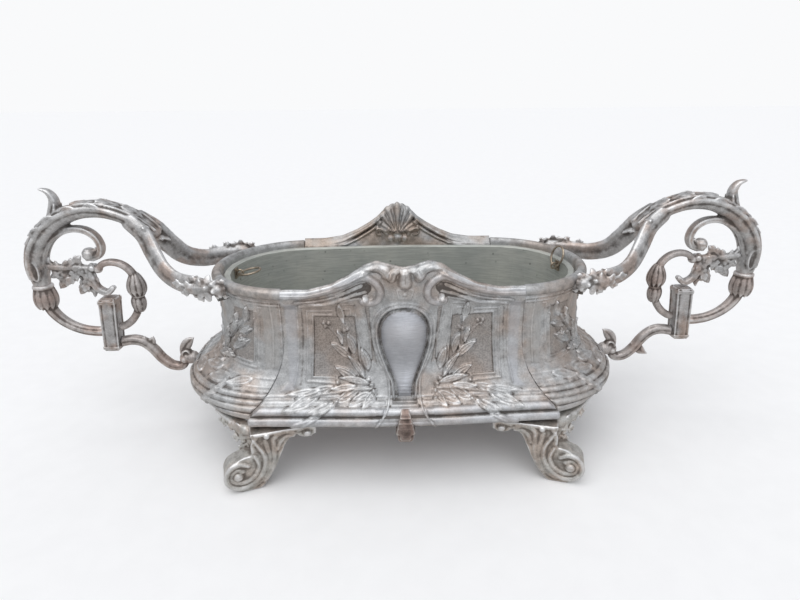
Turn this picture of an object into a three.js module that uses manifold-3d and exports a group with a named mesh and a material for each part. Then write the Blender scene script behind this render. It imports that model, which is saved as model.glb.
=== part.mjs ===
// Oval footed jardiniere in cast metal: four wall castings, scroll feet, forked scroll handles
// and a lift-out zinc liner with two wire ring pulls.
// Millimetres, +Z up, +X along the long axis, origin on the table under the centre.

import * as THREE from 'three';
import { mergeVertices } from 'three/addons/utils/BufferGeometryUtils.js';
import Module from 'manifold-3d';

const wasm = await Module();
wasm.setup();

// ---------------------------------------------------------------- driving dimensions

const GAP = 0.3; // between pieces that touch
const WALL = 3; // cast wall thickness

// Wall castings
const BASE = 39.6; // underside of the walls
const NECK_HALF_WIDTH = 71; // front casting, centre to side edge, at the neck
const BAR_HALF_WIDTH = 93; // front casting, centre to side edge, at the foot of the flare
const NECK_DEPTH = 55.6; // front face at its side edge to the long centre plane, at the neck
const BAR_DEPTH = 73.6; // the same at the foot of the flare
const FLARE_TOP = 100;
const FLARE_HEIGHT = 54;
const BOW = 3.5; // how far the front face bulges at its middle
const END_CENTRE = 67; // centre of the round ends, from the middle of the bowl
const RETURN_SHARE = 0.955; // share of the half width where the side return begins

// Rim
const RIM_HEIGHT = 116.6;
const RIM_RADIUS = 3.5;
const END_RIM_DEPTH = 53.4;
const FRONT_RIM_DEPTH = 58.1;
const LEDGE_TOP = 113.4; // where the liner's rim rests
const LEDGE_INNER = 47.4;
const LIP_INNER = 50.6;

// Liner
const LINER_FLOOR = 54;
const LINER_TOP = 115.5;
const LINER_TOP_OUTER = 46.8; // half width of the straight part at the top
const LINER_BOTTOM_OUTER = 43.2;
const SHEET = 1;
const RING_RADIUS = 7;
const RING_WIRE = 0.75;
const PIVOT_HEIGHT = 111.2;
const PIVOT_REACH = 42; // from the centre of the round end to the ring's pivot
const LEFT_RING = { turn: 6, lift: 10 }; // degrees: place round the end, tilt above level
const RIGHT_RING = { turn: 12, lift: 106 };

// Feet
const FOOT_TOP = BASE - GAP;
const FOOT_WIDTH = 15;
const FOOT_TURN = 16; // degrees the foot turns out of the front plane
const FOOT_SCREW = [78, 62.5];

// Handles
const FORK_SPREAD = 40; // from the centre plane to the end of each prong
const BACK_SAG = 2.2; // how much lower the back prong is cast than the front one
const PRONG_SCREW_HEIGHT = 108.1;
const PRONG_SCREW_ANGLE = 39; // degrees round the end from the long axis
const BRACKET_SCREW_HEIGHT = 50;
const COLLAR = [239.8, 107.2];
const SOCKET_HALF = 5.6;

// Screws
const SHANK = 1.4;
const HOLE = 1.75;
const HEAD = 2.7;
const HEAD_HEIGHT = 1.8;

// ---------------------------------------------------------------- finishes

const finish = (color, roughness, metalness) => new THREE.MeshStandardMaterial({ color, roughness, metalness });
const SILVERED = finish(0x8e8781, 0.42, 0.85);
const TARNISHED = finish(0x75655a, 0.55, 0.75);
const ZINC = finish(0x8f948b, 0.6, 0.5);
const WIRE = finish(0xa89b7c, 0.4, 0.9);
const STEEL = finish(0x70706e, 0.45, 0.9);

// ---------------------------------------------------------------- mesh helpers

const vec = (x, y, z) => new THREE.Vector3(x, y, z);
const radians = THREE.MathUtils.degToRad;
const mix = THREE.MathUtils.lerp;

/** Piecewise straight curve through [position, value] pairs, level beyond its ends. */
function along(table, at) {
  if (at <= table[0][0]) return table[0][1];
  for (let i = 1; i < table.length; i++) {
    const [x1, y1] = table[i];
    const [x0, y0] = table[i - 1];
    if (at <= x1) return mix(y0, y1, (at - x0) / (x1 - x0));
  }
  return table.at(-1)[1];
}

/** Signed volume of an indexed geometry. */
function signedVolume(points, faces) {
  let sum = 0;
  for (const [a, b, c] of faces) sum += points[a].dot(points[b].clone().cross(points[c]));
  return sum / 6;
}

/** Geometry from points and triangles, with its faces turned outwards. */
function closedGeometry(points, faces) {
  const outward = signedVolume(points, faces) > 0 ? faces : faces.map(([a, b, c]) => [a, c, b]);
  const geometry = new THREE.BufferGeometry().setFromPoints(points);
  geometry.setIndex(outward.flat());
  geometry.computeVertexNormals();
  return geometry;
}

/** Triangles that close a flat outline of points. */
function flatCap(ring) {
  const normal = vec(0, 0, 0);
  ring.forEach((p, i) => normal.add(p.clone().cross(ring[(i + 1) % ring.length])));
  normal.normalize();
  const right = Math.abs(normal.z) < 0.9 ? vec(0, 0, 1).cross(normal) : vec(1, 0, 0).cross(normal);
  right.normalize();
  const up = normal.clone().cross(right);
  const flat = ring.map((p) => new THREE.Vector2(p.dot(right), p.dot(up)));
  return THREE.ShapeUtils.triangulateShape(flat, []);
}

/** Triangles that close an outline whose lower part bends: rungs between its sides, flat above. */
function capFaces(ring, bendTop) {
  const faces = [];
  let low = 0;
  let high = ring.length - 1;
  while (ring[low + 1].z <= bendTop || ring[high - 1].z <= bendTop) {
    const climb = ring[low + 1].distanceTo(ring[high]) < ring[low].distanceTo(ring[high - 1]);
    faces.push(climb ? [low, low + 1, high] : [low, high - 1, high]);
    if (climb) low += 1;
    else high -= 1;
  }
  const rest = flatCap(ring.slice(low, high + 1)).map((face) => face.map((i) => i + low));
  return [...faces, ...rest];
}

/** Solid through a row of outlines with matching points; a looped row closes on itself. */
function loft(rings, looped = false, bendTop = -Infinity) {
  const size = rings[0].length;
  const faces = [];
  const spans = looped ? rings.length : rings.length - 1;
  for (let r = 0; r < spans; r++) {
    const here = r * size;
    const next = ((r + 1) % rings.length) * size;
    for (let i = 0; i < size; i++) {
      const j = (i + 1) % size;
      faces.push([here + i, here + j, next + j], [here + i, next + j, next + i]);
    }
  }
  if (!looped) {
    const last = (rings.length - 1) * size;
    for (const face of capFaces(rings[0], bendTop)) faces.push(face.toReversed());
    for (const face of capFaces(rings.at(-1), bendTop)) faces.push(face.map((i) => i + last));
  }
  return closedGeometry(rings.flat(), faces);
}

/** Solid swept through stations [x, y, z, half width, half height] on a smooth curve. */
function sweep(stations, steps, sides = 8, widthAxis = vec(0, 1, 0)) {
  const path = new THREE.CatmullRomCurve3(stations.map(([x, y, z]) => vec(x, y, z)));
  const rings = [];
  for (let i = 0; i <= steps; i++) {
    const t = i / steps;
    const at = path.getPoint(t);
    const forward = path.getTangent(t);
    const across = widthAxis.clone().addScaledVector(forward, -widthAxis.dot(forward)).normalize();
    const up = forward.clone().cross(across);
    const place = t * (stations.length - 1);
    const from = Math.min(Math.floor(place), stations.length - 2);
    const halfWidth = mix(stations[from][3], stations[from + 1][3], place - from);
    const halfHeight = mix(stations[from][4], stations[from + 1][4], place - from);
    const ring = [];
    for (let k = 0; k < sides; k++) {
      const angle = ((k + 0.5) * 2 * Math.PI) / sides;
      const point = at.clone().addScaledVector(across, halfWidth * Math.cos(angle));
      ring.push(point.addScaledVector(up, halfHeight * Math.sin(angle)));
    }
    rings.push(ring);
  }
  return loft(rings);
}

/** Solid of a geometry, ready to be joined or cut. */
function solid(geometry) {
  const bare = geometry.clone();
  bare.deleteAttribute('normal');
  bare.deleteAttribute('uv');
  const merged = mergeVertices(bare, 1e-4);
  const vertProperties = new Float32Array(merged.attributes.position.array);
  const triVerts = new Uint32Array(merged.index.array);
  return new wasm.Manifold(new wasm.Mesh({ numProp: 3, vertProperties, triVerts }));
}

/** Geometry of a joined or cut solid. */
function geometryOf(body) {
  const mesh = body.getMesh();
  const geometry = new THREE.BufferGeometry();
  geometry.setAttribute('position', new THREE.BufferAttribute(mesh.vertProperties, 3));
  geometry.setIndex(new THREE.BufferAttribute(mesh.triVerts, 1));
  geometry.computeVertexNormals();
  return geometry;
}

/** One solid from several geometries that overlap. */
const join = (geometries) => geometries.map(solid).reduce((whole, piece) => whole.add(piece));

/** A geometry turned over across the planes named by the signs. */
function mirrored(geometry, signX, signY = 1) {
  const points = [];
  const position = geometry.attributes.position;
  for (let i = 0; i < position.count; i++) {
    points.push(vec(signX * position.getX(i), signY * position.getY(i), position.getZ(i)));
  }
  const order = Array.from(geometry.index.array);
  const faces = [];
  for (let i = 0; i < order.length; i += 3) faces.push(order.slice(i, i + 3));
  return closedGeometry(points, faces);
}

/** Plate cut to a shape, `depth` thick, with both its edges cut back by `chamfer`. */
function chamferedPlate(shape, depth, chamfer, divisions) {
  const outline = shape.getPoints(divisions);
  if (outline[0].distanceTo(outline.at(-1)) < 0.01) outline.pop();
  const turn = THREE.ShapeUtils.area(outline) > 0 ? 1 : -1;
  const inset = outline.map((point, i) => {
    const before = outline.at(i - 1);
    const after = outline[(i + 1) % outline.length];
    const edgeIn = point.clone().sub(before).normalize();
    const edgeOut = after.clone().sub(point).normalize();
    const inward = edgeIn.add(edgeOut).normalize().rotateAround(new THREE.Vector2(), (turn * Math.PI) / 2);
    return point.clone().addScaledVector(inward, chamfer);
  });
  const level = (points, z) => points.map((p) => vec(p.x, p.y, z));
  return loft([level(inset, 0), level(outline, chamfer), level(outline, depth - chamfer), level(inset, depth)]);
}

/** Turned solid round the Z axis from a profile of [radius, height] that starts and ends on it. */
function turned(profile, segments) {
  const rising = profile.at(-1)[1] > profile[0][1] ? profile : profile.toReversed();
  return new THREE.LatheGeometry(rising.map(([r, z]) => new THREE.Vector2(r, z)), segments).rotateX(Math.PI / 2);
}

/** Ellipsoid with the given half sizes and centre. */
function ellipsoid(half, centre, segments = 8, rows = 6) {
  return new THREE.SphereGeometry(1, segments, rows).scale(...half).translate(...centre);
}

/** Straight round bar between two points. */
function bar(from, to, radius, sides = 8) {
  const start = vec(...from);
  const span = vec(...to).sub(start);
  const rod = new THREE.CylinderGeometry(radius, radius, span.length(), sides);
  rod.translate(0, span.length() / 2, 0);
  rod.applyQuaternion(new THREE.Quaternion().setFromUnitVectors(vec(0, 1, 0), span.clone().normalize()));
  return rod.translate(start.x, start.y, start.z);
}

const group = new THREE.Group();

/** Adds one named piece to a group. */
function addPiece(parent, name, geometry, material) {
  const mesh = new THREE.Mesh(geometry, material);
  mesh.name = name;
  parent.add(mesh);
  return mesh;
}

// ---------------------------------------------------------------- outlines of the bowl

/** How far down the flare a height lies: 0 at its top, 1 at its foot. */
const flare = (z) => Math.max(0, (FLARE_TOP - z) / FLARE_HEIGHT);

/** Half width of the front casting at a height. */
function halfWidth(z) {
  return Math.min(mix(NECK_HALF_WIDTH, BAR_HALF_WIDTH, flare(z) ** 3), BAR_HALF_WIDTH);
}

/** Depth of the front face at its side edge, at a height. */
const frontDepth = (z) => mix(NECK_DEPTH, BAR_DEPTH, flare(z) ** 2.6);

/** Extra depth of a face at a share of its half width. */
const bow = (share) => BOW * (1 - share * share) ** 2;

// Round ends: half length beyond END_CENTRE, half depth and fullness, by height.
const END_REACH = [
  [BASE, 58], [42, 64.6], [44, 70], [46.4, 74.6], [50, 77.4], [53, 76.8], [57, 72.6],
  [59, 68.8], [62, 63.2], [65, 59], [68, 56.4], [72, 54.8], [80, 53.8], [90, 53.2], [100, 53],
];
const END_DEPTH = [
  [BASE, 69.5], [43, 71], [45, 71], [47, 70], [50, 68.5], [53, 67], [56, 65], [59, 62.5],
  [62, 60], [65, 58], [68, 56.5], [72, 55.3], [80, 54.4], [90, 53.8], [100, 53],
];
const END_FULLNESS = [[BASE, 2.5], [50, 2.45], [56, 2.35], [62, 2.15], [68, 2]];

/** Point of a round end at a place from -1 to 1 between its two seams. */
function endPoint(place, reach, depth, fullness, z) {
  const seam = halfWidth(z) + GAP;
  const share = Math.min((seam - END_CENTRE) / reach, 0.98);
  const start = Math.acos(share ** (fullness / 2));
  const angle = place * start;
  const x = END_CENTRE + reach * Math.cos(angle) ** (2 / fullness);
  const y = Math.sign(angle) * depth * Math.abs(Math.sin(angle)) ** (2 / fullness);
  return vec(Math.abs(place) === 1 ? seam : x, y, z);
}

/** Depth of the round end's outside where it meets the front casting. */
function seamDepth(z) {
  return endPoint(1, along(END_REACH, z), along(END_DEPTH, z), along(END_FULLNESS, z), z).y;
}

// Heights at which both kinds of wall casting are drawn, so that their seams stay parallel.
const OUTER_LEVELS = [57, 64, 72, 83, 96];
const INNER_LEVELS = [96, 83, 72, 64, 57];

// Height of the rim's crest along the front and back castings, by distance from the middle.
const FRONT_CREST = [[0, 134.5], [8, 136.4], [15, 138.6], [22, 136.2], [31, 130], [42, 124.4], [55, 121]];
const BACK_CREST = [[0, 147], [8, 144], [15, 136.6], [22, 131.8], [31, 126.8], [42, 122.4], [55, 120.6]];
const RIM_RISE = [[0, 10.5], [22, 10.2], [31, 6.6], [42, 2.4], [55, 0]];

/** Outline of the front or back casting at a share of its half width, as [depth, height] pairs. */
function wallSection(share, crestTable) {
  const out = bow(share);
  const x = Math.abs(share) * NECK_HALF_WIDTH;
  const rise = along(RIM_RISE, x);
  const crest = Math.max(along(crestTable, x), RIM_HEIGHT + RIM_RADIUS + rise + 0.4);
  const bar = [[73, BASE], [77.6, 42], [75, 46.4], [75.4, 49.6], [70.6, 52.4]];
  const face = OUTER_LEVELS.map((z) => [frontDepth(z), z]);
  const cove = [[57, 110.5 + rise * 0.8], [58.4, 113.1 + rise]];
  const roll = [-40, 15, 70].map((degrees) => [
    FRONT_RIM_DEPTH + RIM_RADIUS * Math.cos(radians(degrees)),
    RIM_HEIGHT + rise + RIM_RADIUS * Math.sin(radians(degrees)),
  ]);
  const lift = crest - (RIM_HEIGHT + RIM_RADIUS + rise);
  const crown = [[59.6 + Math.min(lift * 0.3, 2.4), crest - 0.8], [57, crest]];
  const lip = [[55.4, 118.6 + rise * 0.9], [LIP_INNER, 115.8], [LIP_INNER, LEDGE_TOP], [LEDGE_INNER, LEDGE_TOP], [LEDGE_INNER, 111.6]];
  const inside = [[51.4, 110.6], [52.4, 96], [52.6, 83], [55, 72], [59.4, 64], [64.6, 57], [69, 49.6], [69.4, 46.4], [69.4, BASE]];
  const section = [...bar, ...face, ...cove, ...roll, ...crown, ...lip, ...inside];
  return section.map(([depth, z]) => [depth + out, z]);
}

/** Number of outline points that belong to the inside, counted from the end. */
const INSIDE_POINTS = 9;

/** Front casting, or back casting where side is 1, without its holes. */
function wallCasting(side, crestTable) {
  const distances = FRONT_CREST.map(([x]) => x / NECK_HALF_WIDTH);
  const half = [...distances, 0.93, RETURN_SHARE, 1];
  const shares = [...half.slice(1).map((s) => -s).toReversed(), ...half];
  const rings = shares.map((share) => wallSection(share, crestTable).map(([depth, z], i, all) => {
    const inside = i >= all.length - INSIDE_POINTS;
    const returned = inside && Math.abs(share) >= RETURN_SHARE ? seamReturn(z) : depth;
    return vec(share * halfWidth(z), side * Math.min(depth, returned), z);
  }));
  return loft(rings, false, FLARE_TOP);
}

/** Inner depth of the side return, behind the edge of the round end's wall. */
function seamReturn(z) {
  return z < 47 ? 58 : seamDepth(z) - WALL - 0.4;
}

// ---------------------------------------------------------------- raised mouldings and leaves

const MOULDING_ROOT = -1.2; // how deep a raised moulding stands in its wall
const SEAM_TURN = 86; // degrees from the tip of a round end to its seam

/** Place and outward direction on a wall, from a function that gives its surface. */
function wallPlace(surface, across, z) {
  const point = surface(across, z);
  const right = surface(across + 0.5, z).sub(surface(across - 0.5, z));
  const up = surface(across, z + 0.5).sub(surface(across, z - 0.5));
  const normal = right.cross(up).normalize();
  return { point, normal };
}

/** Raised moulding through [across, z, half width] places on a wall. */
function moulding(surface, height, path, looped = false) {
  const last = path.length - 1;
  const point = (i) => surface(path[i][0], path[i][1]);
  const rings = path.map(([across, z, half], i) => {
    const { point: here, normal } = wallPlace(surface, across, z);
    const before = looped ? point((i + last) % (last + 1)) : point(Math.max(i - 1, 0));
    const after = looped ? point((i + 1) % (last + 1)) : point(Math.min(i + 1, last));
    const forward = after.clone().sub(before).normalize();
    const leaving = (i < last || looped ? after.sub(here) : here.clone().sub(before)).normalize();
    const side = normal.clone().cross(forward).normalize();
    const reach = half / Math.max(forward.dot(leaving), 0.6);
    return [[-reach - 0.5, MOULDING_ROOT], [reach + 0.5, MOULDING_ROOT], [reach * 0.6, height], [-reach * 0.6, height]]
      .map(([offset, lift]) => here.clone().addScaledVector(side, offset).addScaledVector(normal, lift));
  });
  return loft(rings, looped);
}

/** Raised leaf between two [across, z] places on a wall. */
function raisedLeaf(surface, [from, to, half]) {
  const at = (share) => [mix(from[0], to[0], share), mix(from[1], to[1], share)];
  return moulding(surface, 1, [[...at(0), 0.4], [...at(0.35), half], [...at(0.7), half * 0.8], [...at(1), 0.3]]);
}

/** A path of [across, z] places with one half width. */
const evenPath = (places, half) => places.map(([across, z]) => [across, z, half]);

const FACE_DEPTH = [[49.6, 75.4], [52.4, 70.6], ...OUTER_LEVELS.map((z) => [z, frontDepth(z)]), [110.5, 57]];
const PANEL_FRAME = [[30, 106.4], [56.4, 106.4], [57, 92], [57.6, 78], [58.4, 66.2], [42, 65.6], [24.6, 66.4], [26, 78], [28, 92]];
const PANEL_STEM = [[20.6, 62.5], [27, 71], [33.3, 82], [38.5, 90], [44.5, 97.2]];
const PANEL_LEAVES = [
  [[32, 77.5], [43.6, 87], 2.4], [[30, 80], [33.6, 92.4], 2], [[27.8, 64], [41.6, 72.4], 2.4],
  [[42.6, 61.8], [65, 55.8], 2.4], [[27, 61], [41.6, 54.4], 2.4], [[49.6, 59], [68, 54], 2.2],
];
const END_FRAME = [[53, 106.4], [69, 106.4], [68.6, 92], [67.8, 80], [67, 68.8], [56, 68.6], [45.5, 68.6], [38, 68.8], [31, 70]];
const END_STEM = [[38, 70], [46, 76], [54, 84], [61, 92], [66, 99]];
const END_STRAP = [[10.5, 105], [10.5, 92], [10.5, 80], [10.5, 68]];
const END_LEAVES = [
  [[29.3, 77.2], [55, 97], 3], [[45, 75.4], [60, 84.6], 2.2], [[31, 72.6], [38.6, 86], 2.2],
  [[15.4, 70.4], [30, 71.4], 2], [[66, 62.6], [50, 58.8], 2.2], [[47, 61.6], [34, 59.8], 2.2],
];
const END_REEDS = [[48.4, 1.3], [52, 1.2], [55.6, 1]]; // height and half width
const REED_TURNS = [13, 26, 39, 52, 65, 78];

/** Frames, laurel and lower leaves on both halves of the front face. */
function panelRelief() {
  const surface = (x, z) => vec(x, -along(FACE_DEPTH, z) - bow(x / halfWidth(z)), z);
  const half = [
    moulding(surface, 0.9, evenPath(PANEL_FRAME, 0.8), true),
    moulding(surface, 0.9, evenPath(PANEL_STEM, 0.8)),
    ...PANEL_LEAVES.map((leafPlace) => raisedLeaf(surface, leafPlace)),
  ];
  return [...half, ...half.map((piece) => mirrored(piece, -1))];
}

/** Frames, laurel, lower leaves and reeds on both halves of the right-hand round end. */
function endRelief() {
  const surface = (turn, z) => (
    endPoint(turn / SEAM_TURN, along(END_REACH, z), along(END_DEPTH, z), along(END_FULLNESS, z), z));
  const half = [
    moulding(surface, 0.9, evenPath(END_FRAME, 0.8)),
    moulding(surface, 0.9, evenPath(END_STEM, 0.8)),
    moulding(surface, 0.7, evenPath(END_STRAP, 0.7)),
    ...END_LEAVES.map((leafPlace) => raisedLeaf(surface, leafPlace)),
    ...END_REEDS.map(([z, width]) => moulding(surface, 0.9, REED_TURNS.map((turn) => [turn, z, width]))),
  ];
  return [...half, ...half.map((piece) => mirrored(piece, 1, -1))];
}

// ---------------------------------------------------------------- ornament on the front and back

/** Egg-shaped shield outline, a round head over sides that close in to a narrow foot. */
function eggShape(halfWide, headCentre, foot, footHalf) {
  const shape = new THREE.Shape();
  shape.moveTo(footHalf, foot);
  shape.bezierCurveTo(footHalf * 1.3, foot + 9, halfWide, headCentre - 20, halfWide, headCentre);
  shape.absarc(0, headCentre, halfWide, 0, Math.PI, false);
  shape.bezierCurveTo(-halfWide, headCentre - 20, -footHalf * 1.3, foot + 9, -footHalf, foot);
  return shape;
}

/** Shield with a domed middle, standing on the front face. */
function shield() {
  const face = NECK_DEPTH + BOW;
  const frame = chamferedPlate(eggShape(17, 94.5, 58, 6.5), 5, 1, 3);
  frame.rotateX(Math.PI / 2).translate(0, -face + 1.6, 0);
  const dome = ellipsoid([13, 7, 21.5], [0, -face - 1, 88], 10, 6);
  return [frame, dome];
}

/** Volutes where the rim's roll curls in beside the middle. */
function rimVolutes() {
  const profile = [[0, 0], [7, 0], [7.4, 2.8], [4.4, 3.4], [3.4, 5], [0, 5.4]];
  return [-1, 1].map((hand) => turned(profile, 9).rotateX(Math.PI / 2)
    .translate(hand * 17.6, -NECK_DEPTH - BOW + 1.2, 118.4));
}

function frontPanel() {
  const body = join([wallCasting(-1, FRONT_CREST), ...shield(), ...rimVolutes(), ...panelRelief()]);
  return geometryOf(body);
}

function backPanel() {
  const flipped = rimVolutes().map((volute) => volute.rotateZ(Math.PI));
  const relief = panelRelief().map((piece) => piece.rotateZ(Math.PI));
  return geometryOf(join([wallCasting(1, BACK_CREST), ...shield().map((g) => g.rotateZ(Math.PI)), ...flipped, ...relief]));
}

// ---------------------------------------------------------------- round ends and floor

/** Outline of a round end as points at one place between its seams. */
function endSection(place) {
  const outer = [BASE, 42, 46.4, 49.6, 52.4, ...OUTER_LEVELS, 111].map((z) => (
    endPoint(place, along(END_REACH, z), along(END_DEPTH, z), along(END_FULLNESS, z), z)));
  const roll = [-40, 15, 75].map((degrees) => {
    const reach = END_RIM_DEPTH + RIM_RADIUS * Math.cos(radians(degrees));
    return endPoint(place, reach, reach, 2, RIM_HEIGHT + RIM_RADIUS * Math.sin(radians(degrees)));
  });
  const lip = [[52, 119.4], [LIP_INNER, 115.8], [LIP_INNER, LEDGE_TOP], [LEDGE_INNER, LEDGE_TOP], [LEDGE_INNER, 111.6], [50, 110.8]]
    .map(([reach, z]) => endPoint(place, reach, reach, 2, z));
  const inner = [...INNER_LEVELS, 49.6, 46.4].map((z) => endPoint(place,
    along(END_REACH, z) - WALL, along(END_DEPTH, z) - WALL, along(END_FULLNESS, z), z));
  const land = [43.4, BASE].map((z) => endPoint(place, 43.6, 65.5, 2.5, z));
  return [...outer, ...roll, ...lip, ...inner, ...land];
}

/** Right-hand round end, without its holes. */
function endCasting() {
  const places = [];
  for (let i = -7; i <= 7; i++) places.push(i / 7);
  return loft(places.map(endSection), false, FLARE_TOP);
}

/** Axis of a handle prong's screw, from its inner end outwards. */
function prongScrewLine(hand, from, to) {
  const angle = radians(hand * PRONG_SCREW_ANGLE);
  const at = (reach) => [END_CENTRE + reach * Math.cos(angle), reach * Math.sin(angle), PRONG_SCREW_HEIGHT];
  return [at(from), at(to)];
}

const BRACKET_WALL = END_CENTRE + along(END_REACH, BRACKET_SCREW_HEIGHT);
const BRACKET_BOSS = 7; // thickness of the wall with the boss inside it, at the bracket's screw

/** Right-hand round end with the three holes for its handle's screws. */
function endPanel() {
  const holes = [
    bar(...prongScrewLine(-1, 46, 60), HOLE),
    bar(...prongScrewLine(1, 46, 60), HOLE),
    bar([BRACKET_WALL - 9, 0, BRACKET_SCREW_HEIGHT], [BRACKET_WALL + 4, 0, BRACKET_SCREW_HEIGHT], HOLE),
  ];
  const boss = bar([BRACKET_WALL - BRACKET_BOSS, 0, BRACKET_SCREW_HEIGHT], [BRACKET_WALL - 1, 0, BRACKET_SCREW_HEIGHT], 4.6);
  const casting = join([endCasting(), boss, ...endRelief()]);
  return geometryOf(holes.reduce((body, hole) => body.subtract(solid(hole)), casting));
}

/** Quarter of the floor plate's edge, from the front's middle round to the end's tip. */
function floorQuarter() {
  const z = 42;
  const shares = [...FRONT_CREST.map(([x]) => x / NECK_HALF_WIDTH), 0.922];
  const points = shares.map((share) => [share * halfWidth(z), 69 + bow(share)]);
  points.push([88.3, 57.4]);
  for (let i = 6; i >= 0; i--) {
    const at = endPoint(i / 7, 43.2, 65.1, 2.5, z);
    points.push([at.x, Math.min(at.y, 57)]);
  }
  return points;
}

function floorPlate() {
  const quarter = floorQuarter();
  const right = [...quarter, ...quarter.slice(0, -1).toReversed().map(([x, y]) => [x, -y])];
  const left = right.slice(1, -1).toReversed().map(([x, y]) => [-x, y]);
  const shape = new THREE.Shape([...right, ...left].map(([x, y]) => new THREE.Vector2(x, y)));
  const plate = new THREE.ExtrudeGeometry(shape, { depth: 3, bevelEnabled: false, steps: 1 }).translate(0, 0, BASE + 0.2);
  let body = solid(plate);
  for (const [x, y] of [...cornerPlaces(FOOT_SCREW), [0, -PENDANT_SCREW], [0, PENDANT_SCREW]]) {
    body = body.subtract(solid(bar([x, y, BASE - 3], [x, y, BASE + 6], HOLE)));
  }
  return geometryOf(body);
}

/** The four corners at plus and minus an [x, y] place. */
const cornerPlaces = ([x, y]) => [[-x, -y], [x, -y], [-x, y], [x, y]];

// ---------------------------------------------------------------- pendants under the bars

const PENDANT_SCREW = 64;

/** Front pendant: a ribbed tongue over the bar and a stepped drop under it. */
function pendant() {
  const face = BAR_DEPTH + BOW + 4.2;
  const drop = new THREE.Shape();
  drop.moveTo(-5.2, FOOT_TOP);
  drop.lineTo(-5.7, 38.4);
  drop.lineTo(-4.7, 36.8);
  drop.lineTo(-4.5, 34.6);
  drop.quadraticCurveTo(-4.2, 33, -2.6, 32.8);
  drop.lineTo(2.6, 32.8);
  drop.quadraticCurveTo(4.2, 33, 4.5, 34.6);
  drop.lineTo(4.7, 36.8);
  drop.lineTo(5.7, 38.4);
  drop.lineTo(5.2, FOOT_TOP);
  const block = new THREE.ExtrudeGeometry(drop, { depth: 9, bevelEnabled: false, curveSegments: 3, steps: 1 });
  block.rotateX(Math.PI / 2).translate(0, -face + 8, 0);
  const lug = new THREE.BoxGeometry(9, 16, 4.4).translate(0, -face + 15, FOOT_TOP - 2.2);
  const levels = [[37.4, 0, 5.6, 2.2], [42.5, 0, 5.3, 2.1], [47, 1.1, 4.2, 1.9], [49.8, 2.15, 3.1, 1.7], [52.4, 5.2, 1.8, 1.3]];
  const strap = loft(levels.map(([z, back, half, thick]) => [
    vec(-half, -face + back, z), vec(half, -face + back, z), vec(half * 0.7, -face + back - thick, z), vec(-half * 0.7, -face + back - thick, z),
  ]));
  const bored = bar([0, -PENDANT_SCREW, FOOT_TOP - 4], [0, -PENDANT_SCREW, FOOT_TOP + 2], HOLE);
  return geometryOf(join([block, lug, strap]).subtract(solid(bored)));
}

// ---------------------------------------------------------------- feet

/** Side outline of a scroll foot: bracket volute, cabriole leg and outer scroll. */
function footShape() {
  const shape = new THREE.Shape();
  shape.moveTo(93, FOOT_TOP);
  shape.quadraticCurveTo(91.4, 30.6, 94.6, 24.2);
  shape.quadraticCurveTo(99, 24, 102.8, 21.9);
  shape.absarc(101, 11.8, 10.8, 1.35, -1.1, true);
  shape.quadraticCurveTo(103, 0, 99, 0);
  shape.lineTo(92, 0);
  shape.quadraticCurveTo(86, 3, 80.4, 13);
  shape.quadraticCurveTo(76, 22, 73.6, 28);
  shape.quadraticCurveTo(70.6, 33.4, 66.4, 33.4);
  shape.quadraticCurveTo(62, 28.6, 57.4, 30.4);
  shape.quadraticCurveTo(53.2, 33, 53.8, FOOT_TOP);
  return shape;
}

/** Leafy wing of the front right foot, that runs back under the round end. */
function footWing() {
  const stations = [
    [90, -71, 24, 5], [97.4, -67, 29.6, 4.6], [104.6, -61.4, 33.4, 4.2], [111.4, -55.2, 36, 3.8], [119, -48.4, 37.8, 3],
  ];
  const rings = stations.map(([x, y, bottom, half]) => {
    const across = new THREE.Vector2(0.6, -0.8).multiplyScalar(half);
    const level = (z, scale) => [-1, 1].map((side) => vec(x + side * scale * across.x, y + side * scale * across.y, z));
    const [lowIn, lowOut] = level(bottom, 0.45);
    const [midIn, midOut] = level(bottom + 1.4, 0.9);
    const [topIn, topOut] = level(FOOT_TOP, 1);
    return [lowIn, lowOut, midOut, topOut, topIn, midIn];
  });
  return loft(rings);
}

/** Front right foot. */
function foot() {
  const [hubX, hubY] = FOOT_SCREW;
  const side = chamferedPlate(footShape(), FOOT_WIDTH, 1.2, 2);
  side.rotateX(Math.PI / 2).translate(-hubX, FOOT_WIDTH / 2, 0);
  side.rotateZ(-radians(FOOT_TURN)).translate(hubX, -70.6, 0);
  const eye = turned([[0, 0], [6.2, 0], [5.2, 1.8], [0, 2.4]], 10).rotateX(Math.PI / 2);
  eye.translate(101.4 - hubX, -FOOT_WIDTH / 2 + 0.4, 12).rotateZ(-radians(FOOT_TURN)).translate(hubX, -70.6, 0);
  const boss = bar([hubX, -hubY, FOOT_TOP - 9], [hubX, -hubY, FOOT_TOP], 7, 10);
  const bored = bar([hubX, -hubY, FOOT_TOP - 7], [hubX, -hubY, FOOT_TOP + 2], HOLE);
  return geometryOf(join([side, eye, boss, footWing()]).subtract(solid(bored)));
}

// ---------------------------------------------------------------- handles (right-hand side)

/** Space kept clear round the wall and the rim's roll. */
function rimClearance() {
  const profile = [[0, 95], [53.8, 95], [53.8, 112.3], [57.6, 112.3], [57.6, 150], [0, 150]];
  return solid(turned(profile, 40).translate(END_CENTRE, 0, 0));
}

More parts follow.
